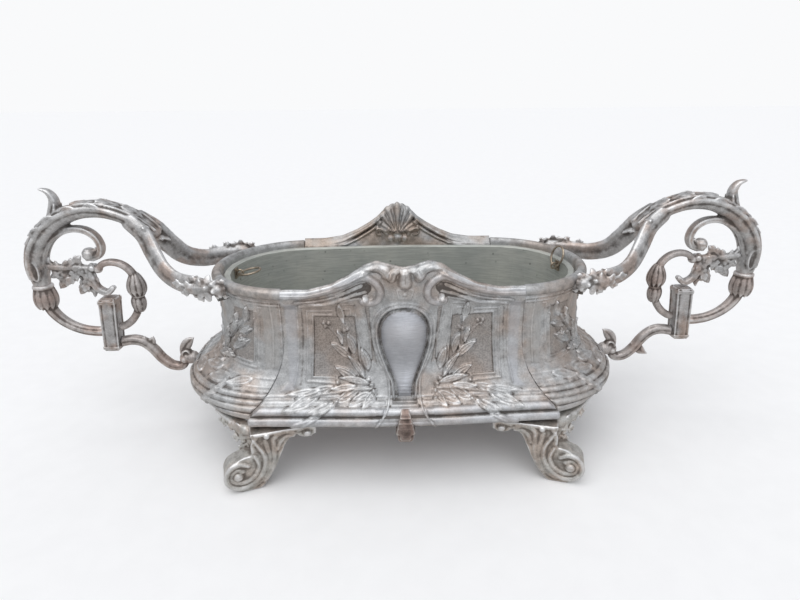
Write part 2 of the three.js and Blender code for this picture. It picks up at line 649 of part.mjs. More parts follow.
/** One prong of the fork; hand is -1 at the front and 1 at the back. */
function prong(hand) {
  const sag = hand > 0 ? BACK_SAG : 0;
  const stations = [
    [172, 6, 150, 4, 6], [163.5, 8.5, 142.2, 4, 6.6], [157.4, 13.5, 132 - sag, 3.6, 7], [150, 20, 122.4 - sag, 3.4, 6.8],
    [140, 27.5, 117.6 - sag, 3.4, 6.4], [129, 34.5, 117 - sag, 3.6, 6.2], [117, FORK_SPREAD, 117.2 - sag, 4, 5.8],
  ];
  return sweep(stations.map(([x, y, z, w, h]) => [x, hand * y, z, w, h]), 8, 6, vec(0.45, hand * 0.9, 0));
}

/** Bunch of blossom that covers the end of a prong. */
function blossom(hand) {
  const y = hand * (FORK_SPREAD + 1);
  const z = hand > 0 ? 117.4 - BACK_SAG : 117.4;
  return [
    ellipsoid([14.5, 6.6, 8], [118.6, y, z], 8, 5),
    ellipsoid([5.8, 5, 5.8], [111, y + hand * 3.4, z - 0.4], 6, 4),
    ellipsoid([6.4, 5, 6.2], [121, y + hand * 3.6, z + 2], 6, 4),
  ];
}

/** Boss under a bunch of blossom that takes the prong's screw. */
function prongBoss(hand) {
  return bar(...prongScrewLine(hand, 50, 61), 3.1, 8);
}

/** Strap of the arm, from the fork over its crown and down to the collar. */
function armStrap() {
  const stations = [
    [160, 0, 141, 8.6, 4.6], [167.5, 0, 147.8, 9.6, 5], [176, 0, 152.4, 10, 5.2], [186, 0, 155.8, 10, 5.4],
    [196, 0, 156.8, 10, 5.6], [206, 0, 155.4, 9.8, 5.6], [216, 0, 151.4, 9.4, 5.6], [225, 0, 145.4, 9, 6],
    [232, 0, 138, 8.6, 6.4], [237.4, 0, 129, 8.2, 6.6], [240, 0, 118, 7.4, 6.6], [COLLAR[0], 0, COLLAR[1] + 0.5, 6.6, 6.2],
  ];
  return sweep(stations, 13, 8);
}

/** Curled tip that rises from the outer end of the arm. */
function horn() {
  const stations = [[222, 0, 149, 5, 5], [219.6, 0, 158, 4.4, 3.6], [218.8, 0, 164, 4, 2.6], [221.4, 0, 168.6, 3.6, 1.6], [226.6, 0, 170.6, 2.6, 0.7]];
  return sweep(stations, 6, 6);
}

/** Scroll that curls in under the arm. */
function innerCurl() {
  const stations = [
    [235.4, 0, 122, 4, 3.2], [232.4, 0, 130, 4.2, 3], [227, 0, 137.4, 4.2, 2.8], [219.4, 0, 142.4, 4.2, 2.6],
    [210.6, 0, 144.6, 4, 2.5], [202.6, 0, 143, 4, 2.5], [197.4, 0, 138.2, 3.8, 2.5], [195.8, 0, 131.6, 3.8, 2.4],
    [198, 0, 126.8, 3.6, 2.3], [202.6, 0, 124.6, 3.4, 2.2],
  ];
  return [sweep(stations, 12, 6), ellipsoid([4.2, 4.4, 4.2], [204, 0, 127.6], 8, 5)];
}

/** Forked arm with its blossom, horn and inner scroll. */
function handleArm() {
  const pieces = [armStrap(), horn(), ...innerCurl()];
  for (const hand of [-1, 1]) pieces.push(prong(hand), ...blossom(hand), prongBoss(hand));
  let body = join(pieces).subtract(rimClearance());
  for (const hand of [-1, 1]) body = body.subtract(solid(bar(...prongScrewLine(hand, 50, 59.8), HOLE)));
  return geometryOf(body);
}

const SOCKET_CENTRE = 199.6;

/** Outer scroll: collar, bud and the tube that runs down to the socket. */
function outerScroll() {
  const [x, z] = COLLAR;
  const profile = [
    [0, 0], [6.2, 0], [7.3, -1], [7.3, -2.6], [6.1, -3.6], [6.6, -5], [8, -7.4], [7.8, -10.4], [6, -13.6], [4.2, -15.4], [0, -15.6],
  ];
  const bud = turned(profile, 12).translate(x, 0, z);
  const stations = [
    [239.2, 0, 94, 4.2, 4.2], [237.4, 0, 87.6, 4, 4], [233, 0, 81.4, 3.8, 3.8], [227, 0, 76.6, 3.6, 3.6],
    [219.4, 0, 73.2, 3.5, 3.5], [211.6, 0, 71.8, 3.5, 3.5], [SOCKET_CENTRE + 6.3, 0, 71.6, 3.5, 3.5],
  ];
  return geometryOf(join([bud, sweep(stations, 9, 8)]));
}

/** Inner scroll: a tapering tube with two buds that arches over to the leaf spray. */
function innerScroll() {
  const lower = [[192.7, 0, 75, 3, 2.8], [190.4, 0, 76, 3, 2.8], [186, 0, 79, 3, 2.8], [181.6, 0, 84.4, 2.8, 2.6], [179, 0, 90, 2.8, 2.6]];
  const upper = [
    [178.2, 0, 108, 3, 3], [179.4, 0, 114, 3, 2.7], [184.2, 0, 119.4, 3, 2.6], [191, 0, 121.6, 3, 2.5],
    [197.4, 0, 120.4, 2.8, 2.4], [200.8, 0, 117.4, 2.6, 2.2],
  ];
  const smallBud = turned([[0, 0], [3.2, 0.4], [5.4, 4], [5, 8], [3, 10.4], [0, 10.8]], 8).translate(178.6, 0, 87);
  const largeBud = turned([[0, 0], [3.4, 0.6], [7, 5], [7.4, 9.4], [5.4, 13.4], [3, 15.6], [0, 16]], 10).translate(178, 0, 97);
  return geometryOf(join([sweep(lower, 4, 6), sweep(upper, 7, 6), smallBud, largeBud]));
}

/** Flat pointed leaf from one point to another. */
function leaf(from, to, halfWide, halfThick) {
  const middle = from.map((value, i) => mix(value, to[i], 0.45));
  return sweep([[...from, halfWide * 0.4, halfThick], [...middle, halfWide, halfThick], [...to, 0.5, 0.5]], 3, 5);
}

/** Spray of leaves that ties the arm, the inner scroll and the socket together. */
function leafSpray() {
  const stem = sweep([[232, 0, 119.4, 2.6, 2.4], [222, 0, 118.4, 2.6, 2.2], [212, 0, 118.2, 2.6, 2.2], [204.4, 0, 117.2, 2.6, 2.4]], 3, 6);
  const fall = sweep([[207, 0, 117, 3, 3], [205.4, 0, 108, 3.4, 2.8], [203.6, 0, 103.6, 3.4, 2.6], [198, 0, 100.4, 3.4, 2.4], [193.6, 0, 103.6, 2.8, 1.8]], 6, 6);
  return geometryOf(join([
    stem, fall,
    leaf([214, 0, 119], [226.4, 0, 104.6], 5.4, 2.4),
    leaf([206, 0, 115], [214, 0, 100.2], 5.4, 2.4),
    leaf([222, 0, 119], [212.4, 0, 124.2], 4.4, 1.6),
  ]).subtract(armClear()));
}

/** The arm's strap and curl, swollen by the gap, to keep the spray clear of them. */
function armClear() {
  const strap = [[237.6, 0, 133, 9, 7.2], [239.9, 0, 120, 8.4, 7.3], [240.9, 0, 106, 7.4, 7]];
  const curl = [[235.8, 0, 121, 4.6, 3.8], [232.4, 0, 130, 4.8, 3.6], [227, 0, 137.4, 4.8, 3.4]];
  return join([sweep(strap, 4, 8), sweep(curl, 4, 6)]);
}

/** Square tapering socket, grooved down its faces, that the scrolls and bracket run into. */
function socketBlock() {
  const edge = SOCKET_HALF;
  const outline = [
    [-edge, 1 - edge], [1 - edge, -edge], [-1.6, -edge], [-0.9, 0.9 - edge], [0.9, 0.9 - edge], [1.6, -edge], [edge - 1, -edge], [edge, 1 - edge],
  ];
  const section = [...outline, ...outline.map(([x, y]) => [-x, -y])];
  const level = (centre, z, scale) => section.map(([x, y]) => vec(centre + x * scale, y * scale, z));
  return loft([level(201.6, 57.8, 0.8), level(201.3, 60, 0.9), level(197.9, 94, 1), level(197.7, 97.4, 0.92)]);
}

/** The socket, swollen by the gap. */
function socketClear() {
  const side = 2 * SOCKET_HALF + 2 * GAP;
  return solid(new THREE.BoxGeometry(side, side, 42).rotateY(radians(-5.8)).translate(SOCKET_CENTRE, 0, 77.4));
}

/** Lower bracket from the socket to the belly, ending in a scroll and a pointed leaf. */
function lowerBracket(thorned) {
  const stations = [
    [196, 0, 63.4, 3.8, 3.6], [188, 0, 64.6, 3.8, 3.6], [181, 0, 63, 3.8, 3.6], [175, 0, 57.6, 3.8, 3.6],
    [169.6, 0, 49.6, 3.8, 3.6], [163, 0, 44, 3.8, 3.4], [156.6, 0, 43.6, 3.8, 3], [153.6, 0, 47, 3.8, 2.6],
  ];
  const wall = BRACKET_WALL + GAP + 0.1;
  const pad = bar([wall, 0, BRACKET_SCREW_HEIGHT], [wall + 8.4, 0, BRACKET_SCREW_HEIGHT], 4.8, 10);
  const eye = ellipsoid([4.4, 4.6, 4.4], [153.4, 0, 49.4], 8, 6);
  const tip = leaf([154, 0, 50], [144, 0, 64.6], 4.4, 2.6);
  const spur = thorned ? leaf([173, 0, 52], [180.6, 0, 45.4], 3, 2.4) : leaf([177, 0, 60], [174, 0, 66], 2.6, 2);
  const cut = bar([wall - 2, 0, BRACKET_SCREW_HEIGHT], [wall + 7, 0, BRACKET_SCREW_HEIGHT], HOLE);
  const belly = sweep([[133, 0, 66, 30, 1], [138, 0, 61.6, 30, 1.6], [142.4, 0, 55, 30, 1.8]], 3, 4);
  return geometryOf(join([sweep(stations, 11, 6), pad, eye, tip, spur])
    .subtract(socketClear()).subtract(solid(cut)).subtract(solid(belly)));
}

// ---------------------------------------------------------------- screws

/** Round-headed screw: its head starts at `from` and its shank ends at `to`. */
function screw(from, to) {
  const start = vec(...from);
  const direction = vec(...to).sub(start).normalize();
  const neck = start.clone().addScaledVector(direction, HEAD_HEIGHT);
  const under = start.clone().addScaledVector(direction, HEAD_HEIGHT - 0.2);
  const head = bar(from, neck.toArray(), HEAD, 8);
  const slot = new THREE.BoxGeometry(7, 0.8, 0.7).applyQuaternion(
    new THREE.Quaternion().setFromUnitVectors(vec(0, 0, 1), direction)).translate(...from);
  return geometryOf(join([head, bar(under.toArray(), to, SHANK, 6)]).subtract(solid(slot)));
}

/** Screw that stands in the floor plate at an [x, y] place. */
function floorScrew([x, y], depth) {
  const headTop = BASE + 3.2 + GAP + HEAD_HEIGHT;
  return screw([x, y, headTop], [x, y, FOOT_TOP - depth]);
}

// ---------------------------------------------------------------- liner

/** Stations round the liner's outline: straight sides and round ends. */
function planStations() {
  const stations = [];
  for (const hand of [1, -1]) {
    for (let i = -7; i < 7; i++) stations.push({ hand, angle: radians((i * 90) / 7) * hand });
    for (let i = 0; i < 6; i++) stations.push({ hand, share: hand * (1 - i / 3) });
  }
  return stations;
}

/** Point of the liner's outline at a station, for a half width and height. */
function planPoint(station, reach, z) {
  const { hand, angle, share } = station;
  if (share === undefined) {
    return vec(hand * (END_CENTRE + reach * Math.cos(angle)), reach * Math.sin(angle), z);
  }
  return vec(share * END_CENTRE, hand * (reach + bow(share)), z);
}

/** Liner wall with its rolled rim. */
function linerWall() {
  const top = LINER_TOP_OUTER;
  const profile = [
    [LINER_BOTTOM_OUTER, LINER_FLOOR], [top, LEDGE_TOP + GAP], [top + 2.4, LEDGE_TOP + GAP],
    [top + 3.1, LEDGE_TOP + 1.1], [top + 2.4, LINER_TOP], [top + 0.6, LINER_TOP + 0.1], [top - SHEET, LINER_TOP - 0.8],
    [LINER_BOTTOM_OUTER - SHEET, LINER_FLOOR],
  ];
  return loft(planStations().map((station) => profile.map(([reach, z]) => planPoint(station, reach, z))), true);
}

/** Flat bottom soldered inside the foot of the liner wall. */
function linerFloor() {
  const outline = planStations().map((station) => planPoint(station, LINER_BOTTOM_OUTER - SHEET - GAP, 0));
  const shape = new THREE.Shape(outline.map((p) => new THREE.Vector2(p.x, p.y)));
  return new THREE.ExtrudeGeometry(shape, { depth: 1, bevelEnabled: false, steps: 1 }).translate(0, 0, LINER_FLOOR + 0.1);
}

/** Soldered eye that a ring pull hangs in, its opening across the wall. */
function lug() {
  const loop = new THREE.TorusGeometry(2.1, 0.65, 5, 10).rotateX(Math.PI / 2);
  const plate = new THREE.BoxGeometry(0.7, 5, 7).translate(2.7, 0, -0.2);
  return geometryOf(join([loop, plate]));
}

/** Wire ring that starts in its eye and lies level, towards the middle of the bowl. */
function ringPull() {
  return new THREE.TorusGeometry(RING_RADIUS, RING_WIRE, 6, 22).translate(-RING_RADIUS, 0, 0);
}

/** Group at a ring's pivot, turned so that its X axis points out through the wall. */
function pivotGroup(hand, turn) {
  const pivot = new THREE.Group();
  const angle = radians(turn);
  pivot.position.set(hand * (END_CENTRE + PIVOT_REACH * Math.cos(angle)), PIVOT_REACH * Math.sin(angle), PIVOT_HEIGHT);
  pivot.rotation.z = hand === 1 ? angle : Math.PI - angle;
  return pivot;
}

// ---------------------------------------------------------------- assembly

const bowl = new THREE.Group();
const linerGroup = new THREE.Group();
group.add(bowl, linerGroup);

addPiece(bowl, 'front_panel', frontPanel(), SILVERED);
addPiece(bowl, 'back_panel', backPanel(), SILVERED);
addPiece(bowl, 'floor_plate', floorPlate(), TARNISHED);
addPiece(bowl, 'front_pendant', pendant(), TARNISHED);
addPiece(bowl, 'back_pendant', mirrored(pendant(), 1, -1), TARNISHED);
addPiece(bowl, 'front_pendant_screw', floorScrew([0, -PENDANT_SCREW], 3), STEEL);
addPiece(bowl, 'back_pendant_screw', floorScrew([0, PENDANT_SCREW], 3), STEEL);

for (const [end, signY] of [['front', 1], ['back', -1]]) {
  for (const [side, signX] of [['left', -1], ['right', 1]]) {
    addPiece(bowl, `foot_${end}_${side}`, mirrored(foot(), signX, signY), SILVERED);
    const place = [signX * FOOT_SCREW[0], -signY * FOOT_SCREW[1]];
    addPiece(bowl, `foot_screw_${end}_${side}`, floorScrew(place, 6), STEEL);
  }
}

const handlePieces = (side) => ({
  end_panel: [endPanel(), SILVERED],
  handle_arm: [handleArm(), SILVERED],
  outer_scroll: [outerScroll(), SILVERED],
  inner_scroll: [innerScroll(), TARNISHED],
  leaf_spray: [leafSpray(), SILVERED],
  socket_block: [socketBlock(), TARNISHED],
  lower_bracket: [lowerBracket(side === 'right'), TARNISHED],
  front_arm_screw: [screw(...prongScrewLine(-1, 47.7, 59)), STEEL],
  back_arm_screw: [screw(...prongScrewLine(1, 47.7, 59)), STEEL],
  bracket_screw: [screw(
    [BRACKET_WALL - BRACKET_BOSS - GAP - HEAD_HEIGHT, 0, BRACKET_SCREW_HEIGHT],
    [BRACKET_WALL + 6, 0, BRACKET_SCREW_HEIGHT]), STEEL],
});
for (const [side, signX] of [['left', -1], ['right', 1]]) {
  const handle = new THREE.Group();
  bowl.add(handle);
  for (const [name, [geometry, material]] of Object.entries(handlePieces(side))) {
    addPiece(handle, `${side}_${name}`, mirrored(geometry, signX), material);
  }
}

addPiece(linerGroup, 'liner_wall', linerWall(), ZINC);
addPiece(linerGroup, 'liner_floor', linerFloor(), ZINC);
for (const [side, hand, { turn, lift }] of [['left', -1, LEFT_RING], ['right', 1, RIGHT_RING]]) {
  const pivot = pivotGroup(hand, turn);
  linerGroup.add(pivot);
  addPiece(pivot, `${side}_ring_eye`, lug(), ZINC);
  addPiece(pivot, `${side}_ring_pull`, ringPull(), WIRE).rotation.y = radians(lift);
}

export default group;
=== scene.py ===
"""Looks of an oval footed jardiniere in cast, silvered metal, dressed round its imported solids.

Lengths are millimetres until a shell becomes a mesh. X runs along the bowl, the front
faces -Y and the table is at Z = 0. Ornament is worked on the right-hand side and turned
over for the left.
"""
import logging
import math
from dataclasses import dataclass, field
from enum import Enum
from typing import Any, Callable, Sequence

import bmesh
import bpy
import numpy as np
from mathutils import Matrix, Vector
from mathutils.geometry import tessellate_polygon


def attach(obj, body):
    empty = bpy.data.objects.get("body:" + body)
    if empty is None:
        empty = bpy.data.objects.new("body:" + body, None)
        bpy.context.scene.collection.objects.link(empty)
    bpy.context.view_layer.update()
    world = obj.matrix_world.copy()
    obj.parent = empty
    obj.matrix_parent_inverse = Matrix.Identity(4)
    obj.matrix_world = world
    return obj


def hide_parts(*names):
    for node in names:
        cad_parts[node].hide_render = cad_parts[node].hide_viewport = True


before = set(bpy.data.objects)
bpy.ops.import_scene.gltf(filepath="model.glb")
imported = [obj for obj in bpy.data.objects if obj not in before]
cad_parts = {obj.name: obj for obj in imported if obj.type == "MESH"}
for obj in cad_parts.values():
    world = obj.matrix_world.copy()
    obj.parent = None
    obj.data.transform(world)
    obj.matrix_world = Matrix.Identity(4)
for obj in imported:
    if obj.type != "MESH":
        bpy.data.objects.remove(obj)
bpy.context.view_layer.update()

LOG = logging.getLogger("jardiniere")
MM = 0.001
Point = Sequence[float]
Table = Sequence[Point]
Path = Sequence[Point]
Triple = tuple[float, float, float]
Array = np.ndarray
Faces = list[Sequence[int]]
Socket = bpy.types.NodeSocket
BODY = "bowl"  # every casting is part of the bowl; liner and rings keep their CAD shape


# ---- sizes shared by the castings

BASE = 39.6  # underside of the wall castings
FOOT_TOP = 39.3
NECK_HALF_WIDTH = 71.0
BAR_HALF_WIDTH = 93.0
NECK_DEPTH = 55.6
BAR_DEPTH = 73.6
FLARE_TOP = 100.0
FLARE_HEIGHT = 54.0
BOW = 3.5
END_CENTRE = 67.0
SEAM_GAP = 0.3
WALL = 3.0
LEDGE_TOP = 113.4
LEDGE_INNER = 47.4
LIP_INNER = 50.6
RIM_HEIGHT = 116.6
RIM_RADIUS = 3.5
END_RIM_DEPTH = 53.4
COLLAR = (239.8, 107.2)
FOOT_HUB = (78.0, -70.6)
FOOT_TURN = math.radians(16)
RIM_CLEARANCE = 57.7  # least reach of a blossom beside the rolled rim
WALL_CLEARANCE = 55.2
RIM_BOTTOM = 112.3
SOLE_HEIGHT = 0.02  # the soles stand clear of the table by this much

# Bound of a wall's brightness from rubbing, tarnish and painted sheen
WEAR_AND_SHEEN_LIMIT = 1.3
SHAPE_WEAR = 0.5  # share of a wall's brightness from rubbing, tarnish and painted sheen that comes from its shape
PAINT_WEAR_AND_SHEEN = 0.9  # and from the strokes of its relief, which on the domes paint a highlight and shade
SPREAD = 0.6  # share of its neighbours that a point takes in one pass of evening
RESTORE = 0.52  # share of the shrinkage that a pass of smoothing gives back
FLOOR_HALF = 6.0  # metres
FLOOR_DROP = 0.0002  # metres that the floor lies under the soles

END_REACH = (
    (39.6, 58), (42, 64.6), (44, 70), (46.4, 74.6), (50, 77.4), (53, 76.8), (57, 72.6), (59, 68.8),
    (62, 63.2), (65, 59), (68, 56.4), (72, 54.8), (80, 53.8), (90, 53.2), (100, 53),
)
END_DEPTH = (
    (39.6, 69.5), (43, 71), (45, 71), (47, 70), (50, 68.5), (53, 67), (56, 65), (59, 62.5), (62, 60),
    (65, 58), (68, 56.5), (72, 55.3), (80, 54.4), (90, 53.8), (100, 53),
)
END_FULLNESS = ((39.6, 2.5), (50, 2.45), (56, 2.35), (62, 2.15), (68, 2))
FRONT_CREST = ((0, 134.5), (8, 136.4), (15, 138.6), (22, 136.2), (31, 130), (42, 124.4), (55, 121))
BACK_CREST = ((0, 147), (8, 144), (15, 136.6), (22, 131.8), (31, 126.8), (42, 122.4), (55, 120.6))
RIM_RISE = ((0, 10.5), (22, 10.2), (31, 6.6), (42, 2.4), (55, 0))


class Slot(str, Enum):
    """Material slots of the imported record."""

    SILVER = "silver_plate"
    TARNISHED = "tarnished_casting"
    ZINC = "liner_zinc"
    BRASS = "brass_wire"
    STEEL = "screw_steel"


# ---- small maths


def along(table: Table, at: Array | float) -> Array:
    """Value of a table of (position, value) pairs, level beyond its ends."""
    pairs = np.asarray(table, float)
    return np.interp(at, pairs[:, 0], pairs[:, 1])


def ease(low: float, high: float, value: Array | float) -> Array:
    """Smooth rise from 0 at `low` to 1 at `high`."""
    t = np.clip((np.asarray(value, float) - low) / (high - low), 0, 1)
    return t * t * (3 - 2 * t)


def unit(vectors: Array) -> Array:
    """Vectors scaled to length 1."""
    return vectors / np.maximum(np.linalg.norm(vectors, axis=-1, keepdims=True), 1e-9)


def half_width(z: Array | float) -> Array:
    """Half width of the front casting at a height."""
    flare = np.maximum(0, (FLARE_TOP - np.asarray(z, float)) / FLARE_HEIGHT)
    return np.minimum(NECK_HALF_WIDTH + (BAR_HALF_WIDTH - NECK_HALF_WIDTH) * flare**3, BAR_HALF_WIDTH)


def front_depth(z: Array | float) -> Array:
    """Depth of the front face at its side edge."""
    flare = np.clip((FLARE_TOP - np.asarray(z, float)) / FLARE_HEIGHT, 0, 1)
    return NECK_DEPTH + (BAR_DEPTH - NECK_DEPTH) * flare**2.6


def bow(share: Array | float) -> Array:
    """Extra depth of a face at a share of its half width."""
    return BOW * (1 - np.asarray(share) ** 2) ** 2


def end_point(place: Array, reach: Array, depth: Array, full: Array,
        z: Array) -> Array:
    """Point of the right round end at a place from -1 to 1 between its seams.

    Args:
        place: Share of the way from the back seam to the front one.
        reach: Distance from the end's centre to its tip.
        depth: Half depth of the end.
        full: 2 for an oval plan, more for a boxier one.
        z: Height.

    Returns:
        The points, in millimetres.
    """
    seam = half_width(z) + SEAM_GAP
    share = np.minimum((seam - END_CENTRE) / reach, 0.98)
    angle = place * np.arccos(share ** (full / 2))
    x = END_CENTRE + reach * np.maximum(np.cos(angle), 0) ** (2 / full)
    y = np.sign(angle) * depth * np.abs(np.sin(angle)) ** (2 / full)
    return np.stack(np.broadcast_arrays(x, y, z), axis=-1)


# ---- shells


@dataclass
class Shell:
    """A skin: points in millimetres and faces as runs of their numbers."""

    points: Array
    faces: Faces
    layers: dict[str, Array] = field(default_factory=dict)

    def turned_over(self, sign_x: int = 1, sign_y: int = 1) -> "Shell":
        """Copy turned over across the planes whose sign is -1."""
        points = self.points * np.array([sign_x, sign_y, 1.0])
        faces = self.faces if sign_x * sign_y > 0 else [tuple(reversed(face)) for face in self.faces]
        return Shell(points, faces, dict(self.layers))

    def on_side(self, hand: int) -> "Shell":
        """The right-hand shell itself, or its copy for the left."""
        return self.turned_over(-1) if hand < 0 else self

    def placed(self, matrix: Matrix) -> "Shell":
        """Copy moved by a matrix in millimetres."""
        m = np.array(matrix)
        return Shell(self.points @ m[:3, :3].T + m[:3, 3], self.faces, dict(self.layers))


def joined(shells: Sequence[Shell]) -> Shell:
    """Several shells as one, each still closed on its own.

    Args:
        shells: The parts.

    Returns:
        One shell with all their points and faces.
    """
    points, faces, start = [], [], 0
    for shell in shells:
        points.append(shell.points)
        faces.extend([tuple(i + start for i in face) for face in shell.faces])
        start += len(shell.points)
    return Shell(np.concatenate(points), faces)


def grid_faces(rows: int, columns: int, wrap: bool = True) -> Faces:
    """Faces of a grid of points numbered row by row.

    Args:
        rows: Number of rows.
        columns: Points in a row.
        wrap: Whether each row closes on itself.

    Returns:
        Its four-sided faces.
    """
    last = columns if wrap else columns - 1
    r, c = np.meshgrid(np.arange(rows - 1), np.arange(last), indexing="ij")
    d = (c + 1) % columns
    quads = np.stack([r * columns + c, r * columns + d, (r + 1) * columns + d, (r + 1) * columns + c],
        axis=-1)
    return quads.reshape(-1, 4).tolist()


def tube_faces(rows: int, columns: int) -> Faces:
    """Faces of a grid of rings closed by two tips, which follow as the last points.

    Args:
        rows: Number of rings.
        columns: Points in a ring.

    Returns:
        The faces of the tube and its two fans.
    """
    faces, count = grid_faces(rows, columns), rows * columns
    last = count - columns
    for k in range(columns):
        after = (k + 1) % columns
        faces.append((count, after, k))
        faces.append((count + 1, last + k, last + after))
    return faces


def spline(rows: Table, spacing: float) -> tuple[Array, Array]:
    """Smooth run through rows of numbers whose first three are a place.

    Args:
        rows: Stations along the run.
        spacing: Rough distance between the points that come back.

    Returns:
        The points with their further numbers, and the unit directions of travel.
    """
    p = np.asarray(rows, float)
    steps = np.linalg.norm(np.diff(p[:, :3], axis=0), axis=1)
    knots = np.concatenate([[0], np.cumsum(np.sqrt(steps))])
    slope = np.diff(p, axis=0) / np.diff(knots)[:, None]
    m = np.empty_like(p)
    m[0], m[-1] = slope[0], slope[-1]
    if len(p) > 2:
        m[1:-1] = slope[:-1] + slope[1:] - (p[2:] - p[:-2]) / (knots[2:] - knots[:-2])[:, None]
    count = max(int(steps.sum() / spacing), 3) + 1
    t = np.linspace(0, knots[-1], count)
    i = np.clip(np.searchsorted(knots, t, side="right") - 1, 0, len(p) - 2)
    h = (knots[i + 1] - knots[i])[:, None]
    s = (t[:, None] - knots[i][:, None]) / h
    out = (
        (2 * s**3 - 3 * s**2 + 1) * p[i] + (s**3 - 2 * s**2 + s) * h * m[i]
        + (3 * s**2 - 2 * s**3) * p[i + 1] + (s**3 - s**2) * h * m[i + 1]
    )
    return out, unit(np.gradient(out[:, :3], axis=0))


Rib = Callable[[Array, Array], Array]


def sweep(rows: Table, spacing: float = 0.8, sides: int = 22, across: Point = (0, 1, 0),
          square: float = 2.0, rib: Rib | None = None) -> Shell:
    """Closed bar along stations of (x, y, z, half width, half height) with blunt ends.

    Args:
        rows: Stations along the bar.
        spacing: Distance between its rings.
        sides: Points in a ring.
        across: Direction of the half width.
        square: 2 for an oval section, more for a boxier one.
        rib: Scale of the section by angle and share of the way.

    Returns:
        The closed skin.
    """
    run, forward = spline(rows, spacing)
    w, h = np.maximum(run[:, 3], 0.05), np.maximum(run[:, 4], 0.05)
    side = np.asarray(across, float)
    side = unit(side - forward * (forward @ side)[:, None])
    up = np.cross(forward, side)
    angle = np.arange(sides) * 2 * math.pi / sides
    radius = (np.abs(np.cos(angle)) ** square + np.abs(np.sin(angle)) ** square) ** (-1 / square)
    share = np.linspace(0, 1, len(run))
    scale = np.tile(radius, (len(run), 1))
    if rib:
        scale = scale * rib(angle[None, :], share[:, None])
    rings, blunt = [], (25, 50, 75)
    for end, turn in ((0, -1), (-1, 1)):
        caps = []
        for degrees in blunt:
            a = math.radians(degrees)
            centre = run[end, :3] + turn * forward[end] * min(w[end], h[end]) * math.sin(a)
            caps.append((centre, math.cos(a), end))
        rings.append(caps)
    order = [*rings[0][::-1], *[(run[i, :3], 1.0, i) for i in range(len(run))], *rings[1]]
    points = []
    for centre, shrink, i in order:
        flat = side[i] * (w[i] * np.cos(angle) * scale[i])[:,
            None] + up[i] * (h[i] * np.sin(angle) * scale[i])[:, None]
        points.append(centre + flat * shrink)
    tips = [run[0, :3] - forward[0] * min(w[0], h[0]), run[-1, :3] + forward[-1] * min(w[-1], h[-1])]
    return Shell(np.concatenate([*points, tips]), tube_faces(len(points), sides))


def turned(profile: Path, centre: Point, sides: int = 40) -> Shell:
    """Piece turned about an upright axis.

    Args:
        profile: Its (radius, height) pairs.
        centre: Place of height 0 on its axis.
        sides: Points in a ring.

    Returns:
        The closed skin.
    """
    run, _ = spline([(r, 0, z) for r, z in profile], 0.6)
    run = run[run[:, 0] > 0.05]
    angle = np.arange(sides) * 2 * math.pi / sides
    radius = run[:, 0:1]
    ring = np.stack([radius * np.cos(angle), radius * np.sin(angle), np.repeat(run[:, 2:3], sides, 1)],
        axis=-1)
    ends = np.array([[0, 0, profile[0][1]], [0, 0, profile[-1][1]]], float)
    points = np.concatenate([ring.reshape(-1, 3), ends])
    return Shell(points, tube_faces(len(run), sides)).placed(Matrix.Translation(Vector(centre)))


def ball(centre: Point, radii: Point, sides: int = 20) -> Shell:
    """Ellipsoid."""
    profile = [(math.sin(a), -math.cos(a)) for a in np.linspace(0, math.pi, 9)]
    shell = turned(profile, (0, 0, 0), sides)
    return Shell(shell.points * np.asarray(radii) + np.asarray(centre, float), shell.faces)


def leaf(base: Point, tip: Point, half_wide: float, thick: float,
         across: Point | None = None, lift: float = 0.0, bend: float = 0.0, blunt: float = 0.0) -> Shell:
    """Leaf with a midrib groove on both faces.

    Args:
        base: Where it grows from.
        tip: Its point.
        half_wide: Half its greatest width.
        thick: Half its greatest thickness.
        across: Direction of its width; in the XZ plane when left out.
        lift: How far it arches off its own plane.
        bend: How far it curves within its own plane.
        blunt: 0 for a pointed tip, 1 for a rounded one.

    Returns:
        The closed skin.
    """
    start, end = np.asarray(base, float), np.asarray(tip, float)
    forward, side, up = leaf_frame(start, end, across)
    rows = []
    for u in np.linspace(0, 1, 9):
        swell = math.sin(math.pi * (0.14 + 0.858 * u) ** (1 + 0.6 * blunt))
        wide = half_wide * swell ** (0.85 - 0.4 * blunt)
        place = start + (end - start) * u + (up * lift + side * bend) * 4 * u * (1 - u)
        rows.append((*place, max(wide, 0.6), max(thick * (1 - 0.5 * u), 0.5)))
    return sweep(rows, 0.7, 24, side, rib=grooved(0.3, 0.3, (math.pi / 2, 1.5 * math.pi)))


def leaf_frame(start: Array, end: Array, across: Point | None) -> tuple[Array, Array,
        Array]:
    """Directions along, across and out of a leaf.

    Args:
        start: Where it grows from.
        end: Its point.
        across: Direction of its width, or None for the XZ plane.

    Returns:
        The three unit directions.
    """
    forward = unit(end - start)
    wide_way = np.cross(forward, (0.0, 1.0, 0.0)) if across is None else np.asarray(across, float)
    side = unit(wide_way - forward * (forward @ wide_way))
    return forward, side, np.cross(forward, side)


